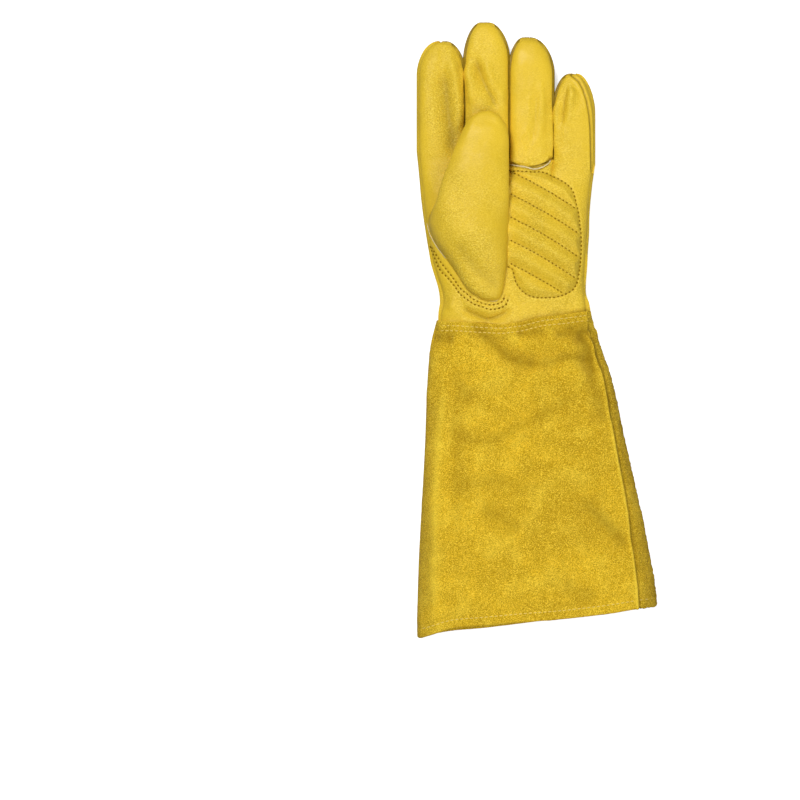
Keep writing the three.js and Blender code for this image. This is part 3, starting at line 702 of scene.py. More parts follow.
def hand_relief(x, y):
    """The quilting, creases and stitched lines in the front of the hand, with the shade painted in their
    grooves and the highlight painted on their ridges.
    """
    height, shade = crease_relief(x, y, HAND_CREASES)
    height += smooth(-y / 3) * cuff_relief(x, y)[0]
    height += unevenness(x, y, HAND_UNEVENNESS)
    quilting = distance_to_line(x, y, PAD_CURVE, closed=True)
    for line in PAD_DIAGONALS:
        quilting = np.minimum(quilting, distance_to_line(x, y, line))
    inside = inside_outline(x, y, PAD_CURVE)
    height += np.where(inside, PAD_RISE * (1 - bump_line(quilting, PAD_VALLEY_WIDTH)), 0)
    thumb_rows = np.minimum(distance_to_line(x, y, THUMB_ROW_OUTER), distance_to_line(x, y, THUMB_ROW_INNER))
    distances = {
        "quilting": quilting,
        "thumb_rows": thumb_rows,
        "little_seam": distance_to_line(x, y, LITTLE_SEAM),
        "ring_seam": distance_to_line(x, y, RING_SEAM_EDGE),
    }
    for name, distance in distances.items():
        sides, (dark, width) = SEWN_LINES[name]
        height += ridges(distance, sides)
        # Each sewn line also gets shade painted along it
        shade = np.maximum(shade, dark * bump_line(distance, width))
    return height, shade


def thumb_relief(x, y):
    """The creases in the thumb's top, with the shade painted in them and the highlight painted on their
    ridges.
    """
    height, shade = crease_relief(x, y, THUMB_CREASES)
    return height + unevenness(x, y, THUMB_UNEVENNESS), shade


def cuff_relief(x, y):
    """Folds, puckers and stitched rows of the cuff's front, with the shade painted in them and the highlight
    painted on its ridges and rolled seam edge.
    """
    height, shade = (share * part for share, part in zip(CUFF_FOLD_SHARES, crease_relief(x, y, CUFF_CREASES)))
    height += unevenness(x, y, CUFF_UNEVENNESS)
    below_edge = cuff_top_rise(x) - y
    for inset in CUFF_ROW_INSETS:
        height -= CUFF_ROW_DEPTH * bump_line(below_edge - inset, CUFF_ROW_WIDTH)
    along = np.clip(-y / (HEM_MEAN * CUFF_LENGTH), 0, 1)
    seam = cuff_edges(along)[1] - gore_width(along) - x
    grown = smooth((-y - CUFF_SEAM_START) / CUFF_SEAM_GROWTH)
    height += grown * ridges(seam, CUFF_SEAM_RIDGES)
    # Painted shade in the seam's gap and painted highlight on its rolled edge
    shade += grown * ridges(seam, CUFF_SEAM_SHADES)
    top_strip = smooth((below_edge + 1) / 1.5) * (1 - smooth((below_edge - TOP_STRIP_WIDTH) / 2.5))
    shade += top_strip * (TOP_STRIP_DARKNESS + 0.16 * cloud(x, y, 2.6, 21))
    height += 0.25 * top_strip * cloud(x, y, 2.2, 22)
    return height, np.clip(shade, -1, 1)


def back_relief(x, y):
    """Soft creases in the back of the hand, the folds that the wrist elastic draws in, and the shade painted
    in those folds' valleys.
    """
    strength = smooth((y + 5) / 12) * (1 - smooth((y - ELASTIC_Y) / GATHER_LENGTH))
    fan = (x - GATHER_MIDDLE) / (1 + 0.004 * np.maximum(y - ELASTIC_Y, 0)) + GATHER_MIDDLE
    fold = np.sin(2 * math.pi * fan / GATHER_SPACING + 0.9 * np.sin(x / 9) + cloud(x, y, 14, 18))
    height = -GATHER_DEPTH * strength * (0.5 - 0.5 * fold)
    shade = 0.6 * strength * np.clip(-fold, 0, 1) ** 2
    return height - 0.25 * (1 + ripple(x, y, 30, 9)) - 0.15 * cloud(x, y, 6, 19), shade


# Cuff surface


def cuff_edges(along):
    """The left and right side of the cuff at each share of its length."""
    radial = look_up(CUFF_SECTIONS, "along", along, "radial")
    ulnar = look_up(CUFF_SECTIONS, "along", along, "ulnar")
    left = lerp(CUFF_TOP_SHIFT - CUFF_TOP_WIDTH / 2, -HEM_WIDTH / 2, radial)
    right = lerp(CUFF_TOP_SHIFT + CUFF_TOP_WIDTH / 2, HEM_WIDTH / 2, ulnar)
    return left, right


def cuff_top_rise(x):
    return np.interp(x, CUFF_TOP_LINE["x"], CUFF_TOP_LINE["rise"])


def gore_width(along):
    return lerp(GORE_TOP_WIDTH, GORE_HEM_WIDTH, along**1.2)


def cuff_reach(layer, across):
    """Distance from the wrist line down to the hem."""
    return CUFF_LENGTH * look_up(HEM_LINE, "across", across, layer)


def cuff_point(layer, across, y):
    along = np.maximum(0, -y) / cuff_reach(layer, across)
    left, right = cuff_edges(along)
    bulge = profile(across, CUFF_SQUARENESS)
    dents = 0
    for place in range(len(CUFF_DENTS["across"])):
        row = {name: CUFF_DENTS[name][place] for name in CUFF_DENTS}
        side = (across - row["across"]) / row["wide"]
        length = (along - row["along"]) / row["long"]
        dents = dents + row["depth"] * np.exp(-side * side - length * length)
    crown = MOUTH_HEIGHT * look_up(CUFF_SECTIONS, "along", along, "crown")
    front = SIDE_HIGH + (crown - SIDE_HIGH - dents) * bulge
    back = np.maximum(0, SIDE_LOW - BACK_DEPTH * bulge)
    return stack(lerp(left, right, across), y, front if layer == "front" else back)


def lap_point(layer, across, y):
    """The leather where it lies inside the top of the cuff."""
    step = 0.002
    start = cuff_point(layer, np.maximum(across - step, 0), y)
    end = cuff_point(layer, np.minimum(across + step, 1), y)
    low = np.minimum(y, 0)
    down = cuff_point(layer, across, low - 1) - cuff_point(layer, across, low)
    normal = np.cross(end - start, down)
    normal /= np.maximum(np.linalg.norm(normal, axis=-1, keepdims=True), 1e-9)
    if layer == "front":
        normal = -normal
    return cuff_point(layer, across, y) - normal * LAP_DEPTH


# Hand surface


def finger_left(finger):
    return HAND_LEFT + sum(other[1] + FINGER_GAP for other in FINGERS[:finger])


def share_across(finger, across):
    shift = np.where((across == 0) & (finger > 0), -FINGER_GAP / 2, 0)
    shift = shift + np.where((across == 1) & (finger < 3), FINGER_GAP / 2, 0)
    return (finger_left(finger) + FINGERS[finger][1] * across + shift - HAND_LEFT) / HAND_WIDTH


def knuckle_line(finger, across):
    return KNUCKLE_HEIGHT * lerp(CROTCHES[finger], CROTCHES[finger + 1], across)


def hand_edges(along):
    left = HAND_LEFT + HAND_WIDTH * look_up(HAND_SECTIONS, "along", along, "radial")
    right = HAND_LEFT + HAND_WIDTH * (1 - look_up(HAND_SECTIONS, "along", along, "ulnar"))
    return left, right


def palm_crown(along):
    return PALM_HEIGHT * look_up(HAND_SECTIONS, "along", along, "crown")


def palm_z(layer, finger, across, y):
    knuckle = knuckle_line(finger, across)
    along = np.clip(y / knuckle, 0, 1)
    bulge = profile(share_across(finger, across), PALM_SQUARENESS)
    own = profile(across, FINGER_SQUARENESS)
    fade = smooth((knuckle - y) / VALLEY_LENGTH)
    if layer == "front":
        palm = SIDE_HIGH + (palm_crown(along) - SIDE_HIGH) * bulge
        return lerp(SIDE_HIGH + (FINGER_HEIGHT - SIDE_HIGH) * own, palm, fade)
    return np.maximum(0, SIDE_LOW - BACK_DEPTH * lerp(own, bulge, fade))


def lap_points(layer, finger, across, y):
    """A grid of points inside the cuff, rows along the hand and columns across a finger."""
    across = across[None, :]
    return lap_point(layer, share_across(finger, across), y[:, None] + 0 * across)


def palm_points(layer, finger, across, levels):
    """A grid of points from the wrist, level 0, up to the knuckle line, level 1."""
    across = across[None, :]
    level = levels[:, None]
    share = share_across(finger, across)
    knuckle = knuckle_line(finger, across)
    dip = FINGER_SEAM_DIP * 4 * across * (1 - across) * level**3 if layer == "front" else 0
    y = knuckle * level - dip
    left, right = hand_edges(y / knuckle)
    x = lerp(left, right, share)
    own = stack(x, y, palm_z(layer, finger, across, y))
    blend = smooth(y / LAP_LENGTH)[..., None]
    return lap_point(layer, share, y) * (1 - blend) + own * blend


def finger_points(layer, finger, across, shaft=None, tip=None):
    """A grid of points of a finger, above the knuckle line or within its tip."""
    _, width, reach, tip_length, lean = FINGERS[finger]
    across = across[None, :]
    dip = FINGER_SEAM_DIP * 4 * across * (1 - across) if layer == "front" else 0
    start = knuckle_line(finger, across) - dip
    if shaft is not None:
        from_tip = reach - lerp(start, reach - tip_length, shaft[:, None])
    else:
        from_tip = tip_length * tip[:, None] + 0 * across

    def rounded(share, power):
        return (1 - (1 - np.clip(share, 0, 1)) ** power) ** (1 / power)

    narrow = lerp(TIP_FLAT, 1, rounded(from_tip / tip_length, TIP_ROUNDNESS))
    swell = rounded(from_tip / (0.67 * tip_length), 2)
    side = lerp(FOURCHETTE_TIP_WIDTH, FOURCHETTE_WIDTH, smooth(from_tip / tip_length)) / 2
    bulge = profile(across, FINGER_SQUARENESS)
    x = finger_left(finger) + width * (0.5 + (across - 0.5) * narrow + lean * (1 - narrow))
    y = reach - from_tip
    if layer == "front":
        z = SIDE_MIDDLE + side + (FINGER_HEIGHT - SIDE_HIGH) * swell * bulge
    else:
        z = np.maximum(lerp(SIDE_MIDDLE - side, 0, swell), SIDE_MIDDLE - side - BACK_DEPTH * bulge)
    return stack(x, y, z)


# Skins, which are cut into the sewn pieces


PIECES = (
    "palm_panel",
    "back_panel",
    "index_back",
    "middle_finger_front",
    "ring_finger_front",
    "fourchette_index_middle",
    "fourchette_middle_ring",
    "fourchette_ring_little",
    "thumb_outer",
    "thumb_inner",
    "cuff",
    "cuff_gore",
)


class Skin:
    """A surface of quads in mm, each marked with the sewn piece that it belongs to."""

    def __init__(self):
        self.points, self.faces, self.pieces, self.count = [], [], [], 0

    def add(self, grid, piece, outward=True):
        """Adds a grid of points; piece is a name, or an array with each quad's number in PIECES."""
        rows, columns = grid.shape[:2]
        numbers = np.arange(rows * columns).reshape(rows, columns) + self.count
        quads = np.stack([numbers[:-1, :-1], numbers[:-1, 1:], numbers[1:, 1:], numbers[1:, :-1]], axis=-1)
        if isinstance(piece, str):
            piece = np.full((rows - 1, columns - 1), PIECES.index(piece))
        kept = piece >= 0
        self.points.append(grid.reshape(-1, 3))
        self.count += rows * columns
        self.faces.append(quads[kept] if outward else quads[kept][:, ::-1])
        self.pieces.append(piece[kept])

    def names(self):
        return [PIECES[number] for number in np.unique(self.pieces)]

    def join(self):
        """Merges points that lie in the same place, drops empty quads and works out the normals."""
        points = np.concatenate(self.points)
        keys = np.round(points * MERGE_STEPS).astype(np.int64)
        _, first, same = np.unique(keys, axis=0, return_index=True, return_inverse=True)
        self.points = points[first]
        faces = same.reshape(-1)[np.concatenate(self.faces)]
        pieces = np.concatenate(self.pieces)
        whole = (faces[:, 0] != faces[:, 2]) & (faces[:, 1] != faces[:, 3])
        whole &= (faces == np.roll(faces, 1, axis=1)).sum(axis=1) < 2
        self.faces, self.pieces = faces[whole], pieces[whole]
        self.shade = np.zeros(len(self.points))
        self.find_normals()

    def find_normals(self):
        corners = self.points[self.faces]
        normals = np.cross(corners[:, 2] - corners[:, 0], corners[:, 3] - corners[:, 1])
        self.normals = np.zeros_like(self.points)
        for corner in range(4):
            np.add.at(self.normals, self.faces[:, corner], normals)
        self.normals /= np.maximum(np.linalg.norm(self.normals, axis=1, keepdims=True), 1e-12)

    def soften_normals(self, rounds):
        """Evens out the directions in which reliefs and seams move the points, most at the tips."""
        for _ in range(rounds):
            middles = self.normals[self.faces].mean(axis=1)
            total = np.zeros_like(self.normals)
            for corner in range(4):
                np.add.at(total, self.faces[:, corner], middles)
            self.normals = total / np.maximum(np.linalg.norm(total, axis=1, keepdims=True), 1e-12)

    def emboss(self, relief, side):
        """Raises the surface that faces up (side 1) or down (side -1) by a relief over x and y, and adds the
        shade that the relief paints.
        """
        height, shade = relief(self.points[:, 0], self.points[:, 1])
        weight = smooth(RELIEF_GROWTH * side * self.normals[:, 2])
        self.points = self.points + self.normals * (height * weight)[:, None]
        self.shade = self.shade + shade * weight

    def roughen(self, name, size, amount):
        """Makes a piece's surface uneven by noise with lumps about size mm across, amount mm high."""
        mine = np.unique(self.faces[self.pieces == PIECES.index(name)])
        lumps = np.array([noise.noise(Vector(point / size)) for point in self.points[mine]])
        self.points[mine] += self.normals[mine] * (amount * lumps)[:, None]

    def piece(self, name, roll, depth, darkness, least=0.0):
        """One sewn piece, rolled down at its seams: points, faces, painted shades and shares of the full
        wall.
        """
        mine = self.pieces == PIECES.index(name)
        own = self.faces[mine]
        used = np.unique(own)
        seam = np.intersect1d(used, np.unique(self.faces[~mine]))
        near = close = np.zeros(len(used))
        # Seams stay shallow, and lose their painted shade, where they run over a fingertip
        tip = smooth((self.normals[used][:, 1] - 0.3) / 0.4) * smooth((self.points[used][:, 1] - 100) / 20)
        if len(seam):
            tree = KDTree(len(seam))
            for place, corner in enumerate(seam):
                tree.insert(self.points[corner], place)
            tree.balance()
            gaps = np.array([tree.find(point)[2] for point in self.points[used]])
            close = np.clip(1 - gaps / roll, 0, 1)
            near = close * (1 - tip)
        points = self.points[used] - self.normals[used] * (depth * near**2)[:, None]
        faces = [
            [corner for place, corner in enumerate(face) if corner != face[place - 1]]
            for face in np.searchsorted(used, own).tolist()
        ]
        shade = self.shade[used]
        # Shade painted deep in the seam's groove, negative for a painted highlight, and the least shade
        # painted over the piece away from the tips
        dark = darkness * near**2.5
        dark = np.where(np.abs(dark) > least, dark, least * (1 - tip))
        return points, faces, np.where(np.abs(dark) > np.abs(shade), dark, shade), 1 - close


def to_world(points):
    places = np.array(points, float) + np.array([0, WRIST_Y, 0])
    return places * MM


def link_mesh(name, corners, faces, material):
    """A new object whose mesh has these corners, in metres, and faces."""
    mesh = bpy.data.meshes.new(name)
    mesh.from_pydata(corners, [], faces)
    mesh.materials.append(material)
    piece = bpy.data.objects.new(name, mesh)
    bpy.context.collection.objects.link(piece)
    return piece


def sew_piece(skin, node, name, material, wall, seam, grain_spots=()):
    """Makes a sewn piece with its wall, in place of a CAD node; seam holds its roll, depth and the shade
    painted in it.
    """
    points, faces, shade, share = skin.piece(node, *seam)
    bpy.ops.object.select_all(action="DESELECT")
    piece = link_mesh(name, to_world(points).tolist(), faces, look_up_material(material))
    # The seam attribute carries the painted shade of seams, creases and folds, and negative values for
    # painted highlight
    masks = {"seam": shade}
    if grain_spots:
        masks["grain"] = grain_strength(points[:, 0], points[:, 1], grain_spots)
    for label, values in masks.items():
        layer = piece.data.attributes.new(label, "FLOAT", "POINT")
        layer.data.foreach_set("value", np.asarray(values, np.float32))
    bpy.context.view_layer.objects.active = piece
    piece.select_set(True)
    group = piece.vertex_groups.new(name="wall")
    share = np.round(WALL_STEPS * share)
    for step in range(WALL_STEPS + 1):
        group.add(np.flatnonzero(share == step).tolist(), max(step, 0.5) / WALL_STEPS, "REPLACE")
    solid = piece.modifiers.new("wall", "SOLIDIFY")
    solid.vertex_group = group.name
    solid.thickness = wall
    solid.offset = -1
    solid.use_even_offset = False
    bpy.ops.object.modifier_apply(modifier=solid.name)
    piece.vertex_groups.clear()
    for vertex in piece.data.vertices:
        vertex.co.z = max(vertex.co.z, LOWEST_Z * MM)
    bpy.ops.object.shade_smooth_by_angle(angle=math.radians(SHARP_ANGLE))
    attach(piece, "root")
    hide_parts(node)


def spread(columns):
    """Places across a finger, closer together at its rounded sides."""
    even = np.arange(columns + 1) / columns
    round_places = (1 - np.cos(math.pi * even)) / 2
    places = lerp(round_places, even, 0.35)
    places[0], places[-1] = 0, 1
    return places


def hand_skin():
    """The whole leather hand, from the lap inside the cuff up to the fingertips."""
    skin = Skin()
    columns = 44
    across = spread(columns)
    laps = np.linspace(-LAP_LENGTH, 0, 7)
    levels = np.linspace(0, 1, 151)[1:]
    shafts = np.linspace(0, 1, 56)[1:]
    tips = np.linspace(1, 0, 24)[1:] ** 1.5
    shaft_row = len(laps) + len(levels) - 1
    column = np.arange(columns)[None, :]
    numbers = {name: place for place, name in enumerate(PIECES)}
    fronts = ("palm_panel", "middle_finger_front", "ring_finger_front", "palm_panel")
    for finger in range(4):
        grids = {}
        for layer in ("front", "back"):
            below = lap_points(layer, finger, across, laps)
            palm = palm_points(layer, finger, across, levels)
            shaft = finger_points(layer, finger, across, shaft=shafts)
            tip = finger_points(layer, finger, across, tip=tips)
            grids[layer] = np.concatenate([below, palm, shaft, tip])
        row = np.arange(len(grids["front"]) - 1)[:, None]
        is_finger = row >= shaft_row
        front = np.where(is_finger, numbers[fronts[finger]], numbers["palm_panel"]) + 0 * column
        corner = grids["front"][:-1, :-1]
        front[in_thumb_hole(corner[..., 0], corner[..., 1]) & ~is_finger] = -1
        skin.add(grids["front"], front)
        back = np.full(front.shape, numbers["back_panel"])
        if finger == 0:
            back[is_finger & (column >= columns / 2)] = numbers["index_back"]
            back[is_finger & (column < columns / 2)] = numbers["palm_panel"]
            back[~is_finger & (column < PALM_WRAP_RADIAL * columns)] = numbers["palm_panel"]
        if finger == 3:
            back[:, int(PALM_WRAP_ULNAR * columns) :] = numbers["palm_panel"]
        skin.add(grids["back"], back, outward=False)
        for edge in (0, 1):
            outside = (finger == 0 and edge == 0) or (finger == 3 and edge == 1)
            start = 0 if outside else shaft_row
            near, far = (grids[layer][start:, -edge] for layer in ("back", "front"))
            strip = side_strip(near, far, HAND_SIDE_BULGE if outside else FOURCHETTE_BULGE, 1 if edge else -1)
            name = "palm_panel"
            if not outside:
                name = f"fourchette_{FINGERS[finger - 1 + edge][0]}_{FINGERS[finger + edge][0]}"
            skin.add(strip, name, outward=edge == 1)
        skin.add(np.stack([grids["back"][-1], grids["front"][-1]]), back[-1:])
    skin.join()
    skin.soften_normals(1)
    skin.emboss(hand_relief, 1)
    skin.emboss(back_relief, -1)
    skin.find_normals()
    return skin


def side_strip(near, far, bulge, side, steps=7):
    """A narrow strip between two lines of points, rounded out sideways."""
    share = np.linspace(0, 1, steps)[None, :, None]
    strip = near[:, None] * (1 - share) + far[:, None] * share
    strip[..., 0] += side * bulge * 4 * share[..., 0] * (1 - share[..., 0])
    return strip


# Thumb surface


def thumb_edges(along):
    """The left and right side of the thumb at each share of its length."""
    left = THUMB_RIGHT - THUMB_WIDTH * (1 - look_up(THUMB_SECTIONS, "along", along, "radial"))
    right = THUMB_RIGHT - THUMB_WIDTH * look_up(THUMB_SECTIONS, "along", along, "ulnar")
    return left, right


def in_thumb_hole(x, y):
    """Whether each place lies in the hole of the palm that the thumb is sewn over."""
    left, right = thumb_edges(np.clip((y - THUMB_BASE) / THUMB_LENGTH, 0, 1))
    low, high = THUMB_BASE + THUMB_HOLE_INSET, THUMB_BASE + THUMB_LENGTH * WEB_ALONG - THUMB_HOLE_WEB_INSET
    inside = (left + THUMB_HOLE_INSET < x) & (x < right - THUMB_HOLE_INSET)
    return inside & (low < y) & (y < high)


def front_height(x, y):
    """Height of the leather's front at places below the knuckles, without its relief."""
    left, right = hand_edges(y / KNUCKLE_HEIGHT)
    knuckle_x = HAND_LEFT + HAND_WIDTH * (x - left) / (right - left)
    height = np.zeros(np.shape(x + y))
    for finger in range(4):
        start = finger_left(finger)
        across = np.clip((knuckle_x - start) / FINGERS[finger][1], 0.001, 0.999)
        reached = knuckle_x + 0 * y >= (start if finger else -1e9)
        height = np.where(reached, palm_z("front", finger, across, y), height)
    return height


def thumb_points(layer, across, along):
    """A grid of points of the thumb's top or underside, rows along it and columns across."""
    across, along = across[None, :], along[:, None]
    y = THUMB_BASE + THUMB_LENGTH * along + 0 * across
    left, right = thumb_edges(along)
    crown = palm_crown(np.clip(y / KNUCKLE_HEIGHT, 0, 1))
    bed = np.maximum(crown, FINGER_HEIGHT) + REST_CLEARANCE
    rise = THUMB_HEIGHT * look_up(THUMB_SECTIONS, "along", along, "rise")
    lift = rise * look_up(THUMB_SECTIONS, "along", along, "lift")
    free = smooth((along - WEB_ALONG) / WEB_BLEND)

    def rim(x):
        return lerp(np.minimum(front_height(x, y), bed) - THUMB_RIM_SINK, bed + lift, free)

    side = lerp(rim(left + THUMB_RIM_INSET), rim(right - THUMB_RIM_INSET), across)
    x = lerp(left, right, across)
    bulge = profile(across, THUMB_SQUARENESS)
    if layer == "top":
        return stack(x, y, side + np.maximum(0, bed + rise - side) * bulge)
    under = np.maximum(side - lift * bulge, np.minimum(front_height(x, y), bed) + REST_CLEARANCE)
    under = lerp(under, np.maximum(under, bed), free)
    return stack(x, y, np.where((across == 0) | (across == 1), side, under))


def thumb_skin():
    """The bag-like thumb, open underneath where it is sewn into the palm."""
    skin = Skin()
    across = spread(60)
    steps = np.linspace(0, 1, 141)
    along = lerp(0.5 * (1 - np.cos(math.pi * steps)), steps, 0.45)
    web = int(np.argmin(np.abs(along - WEB_ALONG)))
    along[web] = WEB_ALONG
    skin.add(thumb_points("top", across, along), "thumb_outer")
    skin.add(thumb_points("under", across, along[web:]), "thumb_inner", outward=False)
    end = np.array([1.0])
    ends = np.concatenate([thumb_points("under", across, end), thumb_points("top", across, end)])
    skin.add(ends, "thumb_outer")
    skin.join()
    skin.soften_normals(1)
    skin.emboss(thumb_relief, 1)
    skin.find_normals()
    return skin


# The cuff's tube and hem


def cuff_skin():
    """The cuff and its gore as one flared tube, with the hem turned up inside."""
    skin = Skin()
    rows, front_columns, back_columns, gore_columns, side_columns = 200, 116, 72, 16, 9
    along = np.linspace(0, 1, rows + 1)[:, None]

    def line(layer, columns):
        left, right = cuff_edges(along)
        gore = gore_width(along) / (right - left)
        main = spread(columns)[None, :] * (1 - gore)
        shares = np.sin(np.linspace(0, math.pi / 2, gore_columns + 1))[None, 1:]
        places = np.concatenate([main, 1 - gore + gore * shares], axis=1)
        places[:, -1] = 1
        return cuff_point(layer, places, -along * (cuff_reach(layer, places) - HEM_RADIUS))

    front, back = line("front", front_columns), line("back", back_columns)
    front[..., 1] += cuff_top_rise(front[..., 0]) * np.clip(1 - along / CUFF_TOP_FADE, 0, 1) ** 1.5
    right = side_strip(front[:, -1], back[:, -1], CUFF_SIDE_BULGE, 1, side_columns)
    left = side_strip(back[:, 0], front[:, 0], CUFF_SIDE_BULGE, -1, side_columns)
    tube = np.concatenate([front, right[:, 1:], back[:, ::-1][:, 1:], left[:, 1:]], axis=1)
    tube = np.concatenate([tube, turned_hem(tube, HEM_RADIUS)])
    column = np.arange(tube.shape[1] - 1)
    ulnar_seam = front_columns + gore_columns + side_columns - 1 + gore_columns
    is_gore = (column >= front_columns) & (column < ulnar_seam)
    piece = np.where(is_gore, PIECES.index("cuff_gore"), PIECES.index("cuff"))
    skin.add(tube, np.tile(piece, (len(tube) - 1, 1)), outward=False)
    skin.join()
    skin.emboss(cuff_relief, 1)
    skin.find_normals()
    for name, _, _, (size, amount) in CUFF_PIECES:
        skin.roughen(name, size, amount)
    return skin


def turned_hem(tube, radius):
    """Rows that turn a tube's last edge inward and back up inside it."""
    along = tube[-1] - tube[-2]
    along /= np.linalg.norm(along, axis=-1, keepdims=True)
    around = np.roll(tube[-1], -1, axis=0) - np.roll(tube[-1], 1, axis=0)
    around[0] = around[-1] = tube[-1, 1] - tube[-1, -2]
    outward = np.cross(along, around)
    outward /= np.maximum(np.linalg.norm(outward, axis=-1, keepdims=True), 1e-9)
    fold = []
    for turn in np.linspace(0, math.pi, 8)[1:]:
        fold.append(tube[-1] + along * radius * math.sin(turn) - outward * radius * (1 - math.cos(turn)))
    fold += [tube[-1 - row] - outward * 2 * radius for row in range(1, 6)]
    return np.stack(fold)


# Materials


def socket_value(node, name, value):
    node.inputs[name].default_value = value


def mix_colours(tree, factor, first, second):
    """Mixes two colours; each of the three may be a socket or a plain value."""
    node = tree.nodes.new("ShaderNodeMix")
    node.data_type = "RGBA"
    for name, kind, source in (("Factor", "VALUE", factor), ("A", "RGBA", first), ("B", "RGBA", second)):
        socket = next(socket for socket in node.inputs if socket.name == name and socket.type == kind)
        if isinstance(source, bpy.types.NodeSocket):
            tree.links.new(source, socket)
        else:
            socket.default_value = source
    return next(socket for socket in node.outputs if socket.type == "RGBA")


def layer_colours(tree, colour, layers):
    """Lays colours over the first one: mask, its low and high, how much shows at high, and the colour."""
    for mask, low, high, most, over in layers:
        colour = mix_colours(tree, ranged(tree, mask, low, high, 0.0, most), colour, over)
    return colour


def ranged(tree, source, low, high, to_low, to_high):
    node = tree.nodes.new("ShaderNodeMapRange")
    node.clamp = True
    tree.links.new(source, node.inputs["Value"])
    for name, value in (("From Min", low), ("From Max", high), ("To Min", to_low), ("To Max", to_high)):
        node.inputs[name].default_value = value
    return node.outputs["Result"]


def add_noise(tree, vector, scale, detail=4.0, roughness=0.55, distortion=0.0):
    node = tree.nodes.new("ShaderNodeTexNoise")
    tree.links.new(vector, node.inputs["Vector"])
    socket_value(node, "Scale", scale)
    socket_value(node, "Detail", detail)
    socket_value(node, "Roughness", roughness)
    socket_value(node, "Distortion", distortion)
    return node.outputs["Fac"]


def math_node(tree, operation, first, second):
    node = tree.nodes.new("ShaderNodeMath")
    node.operation = operation
    for place, source in enumerate((first, second)):
        if isinstance(source, bpy.types.NodeSocket):
            tree.links.new(source, node.inputs[place])
        else:
            node.inputs[place].default_value = source
    return node.outputs[0]


def new_group(name, inputs, outputs):
    """A shader node group with named sockets: (name, type, default) in and (name, type) out."""
    group = bpy.data.node_groups.new(name, "ShaderNodeTree")
    for label, kind, default in inputs:
        socket = group.interface.new_socket(label, in_out="INPUT", socket_type=kind)
        if default is not None:
            socket.default_value = default
    for label, kind in outputs:
        group.interface.new_socket(label, in_out="OUTPUT", socket_type=kind)
    start = group.nodes.new("NodeGroupInput")
    end = group.nodes.new("NodeGroupOutput")
    return group, start, end


def grain_group():
    """Pebble grain and fine wrinkles of smooth leather, as a height and masks of its pores and crests."""
    group, start, end = new_group(
        "Leather grain",
        [
            ("Vector", "NodeSocketVector", None),
            ("Pebble Scale", "NodeSocketFloat", 620.0),
            ("Strength", "NodeSocketFloat", 0.5),
        ],
        [("Height", "NodeSocketFloat"), ("Pores", "NodeSocketFloat"), ("Crests", "NodeSocketFloat")],
    )
    stretch = group.nodes.new("ShaderNodeMapping")
    stretch.inputs["Scale"].default_value = (0.6, 1.1, 1.0)
    group.links.new(start.outputs["Vector"], stretch.inputs["Vector"])
    place = stretch.outputs["Vector"]
    cells = group.nodes.new("ShaderNodeTexVoronoi")
    cells.feature = "DISTANCE_TO_EDGE"
    group.links.new(warped(group, place, 400.0, 0.0009), cells.inputs["Vector"])
    group.links.new(start.outputs["Pebble Scale"], cells.inputs["Scale"])
    pebble = ranged(group, cells.outputs["Distance"], 0.0, 0.3, 0.0, 1.0)
    fine = add_noise(group, place, 1500.0, 2.0, 0.6)
    strength = start.outputs["Strength"]
    height = math_node(group, "ADD", math_node(group, "MULTIPLY", pebble, 0.4), fine)
    group.links.new(math_node(group, "MULTIPLY", height, strength), end.inputs["Height"])
    lines = math_node(group, "MULTIPLY", math_node(group, "SUBTRACT", 1.0, pebble), 0.35)
    specks = ranged(group, fine, 0.5, 0.36, 0.0, 1.0)
    dark = math_node(group, "MULTIPLY", math_node(group, "MAXIMUM", lines, specks), strength)
    group.links.new(dark, end.inputs["Pores"])
    crests = math_node(group, "MULTIPLY", ranged(group, fine, 0.5, 0.64, 0.0, 1.0), strength)
    group.links.new(crests, end.inputs["Crests"])
    return group


def warped(tree, place, scale, strength):
    """Places shifted a little by noise, so that a pattern on them is less regular."""
    noise = tree.nodes.new("ShaderNodeTexNoise")
    tree.links.new(place, noise.inputs["Vector"])
    socket_value(noise, "Scale", scale)
    shift = tree.nodes.new("ShaderNodeVectorMath")
    shift.operation = "MULTIPLY_ADD"
    tree.links.new(noise.outputs["Color"], shift.inputs[0])
    shift.inputs[1].default_value = (strength, strength, strength)
    tree.links.new(place, shift.inputs[2])
    return shift.outputs["Vector"]


def mottle_group():
    """Uneven dye in large soft patches with finer clouds inside them."""
    group, start, end = new_group(
        "Uneven dye",
        [("Vector", "NodeSocketVector", None), ("Patch Scale", "NodeSocketFloat", 18.0)],
        [("Patches", "NodeSocketFloat"), ("Clouds", "NodeSocketFloat")],
    )
    patches = group.nodes.new("ShaderNodeTexNoise")
    group.links.new(start.outputs["Vector"], patches.inputs["Vector"])
    group.links.new(start.outputs["Patch Scale"], patches.inputs["Scale"])
    socket_value(patches, "Detail", 3.0)
    socket_value(patches, "Distortion", 0.6)
    clouds = add_noise(group, start.outputs["Vector"], 95.0, 5.0, 0.6, 0.3)
    group.links.new(ranged(group, patches.outputs["Fac"], 0.34, 0.66, 0.0, 1.0), end.inputs["Patches"])
    group.links.new(ranged(group, clouds, 0.3, 0.7, 0.0, 1.0), end.inputs["Clouds"])
    return group


def place_group(tree, group, vector):
    node = tree.nodes.new("ShaderNodeGroup")
    node.node_tree = group
    tree.links.new(vector, node.inputs["Vector"])
    return node


def new_material(name):
    """A material with its shader and the piece's own coordinates."""
    material = bpy.data.materials.new(name)
    material.use_nodes = True
    tree = material.node_tree
    shader = tree.nodes["Principled BSDF"]
    place = tree.nodes.new("ShaderNodeTexCoord")
    return material, tree, shader, place.outputs["Object"]


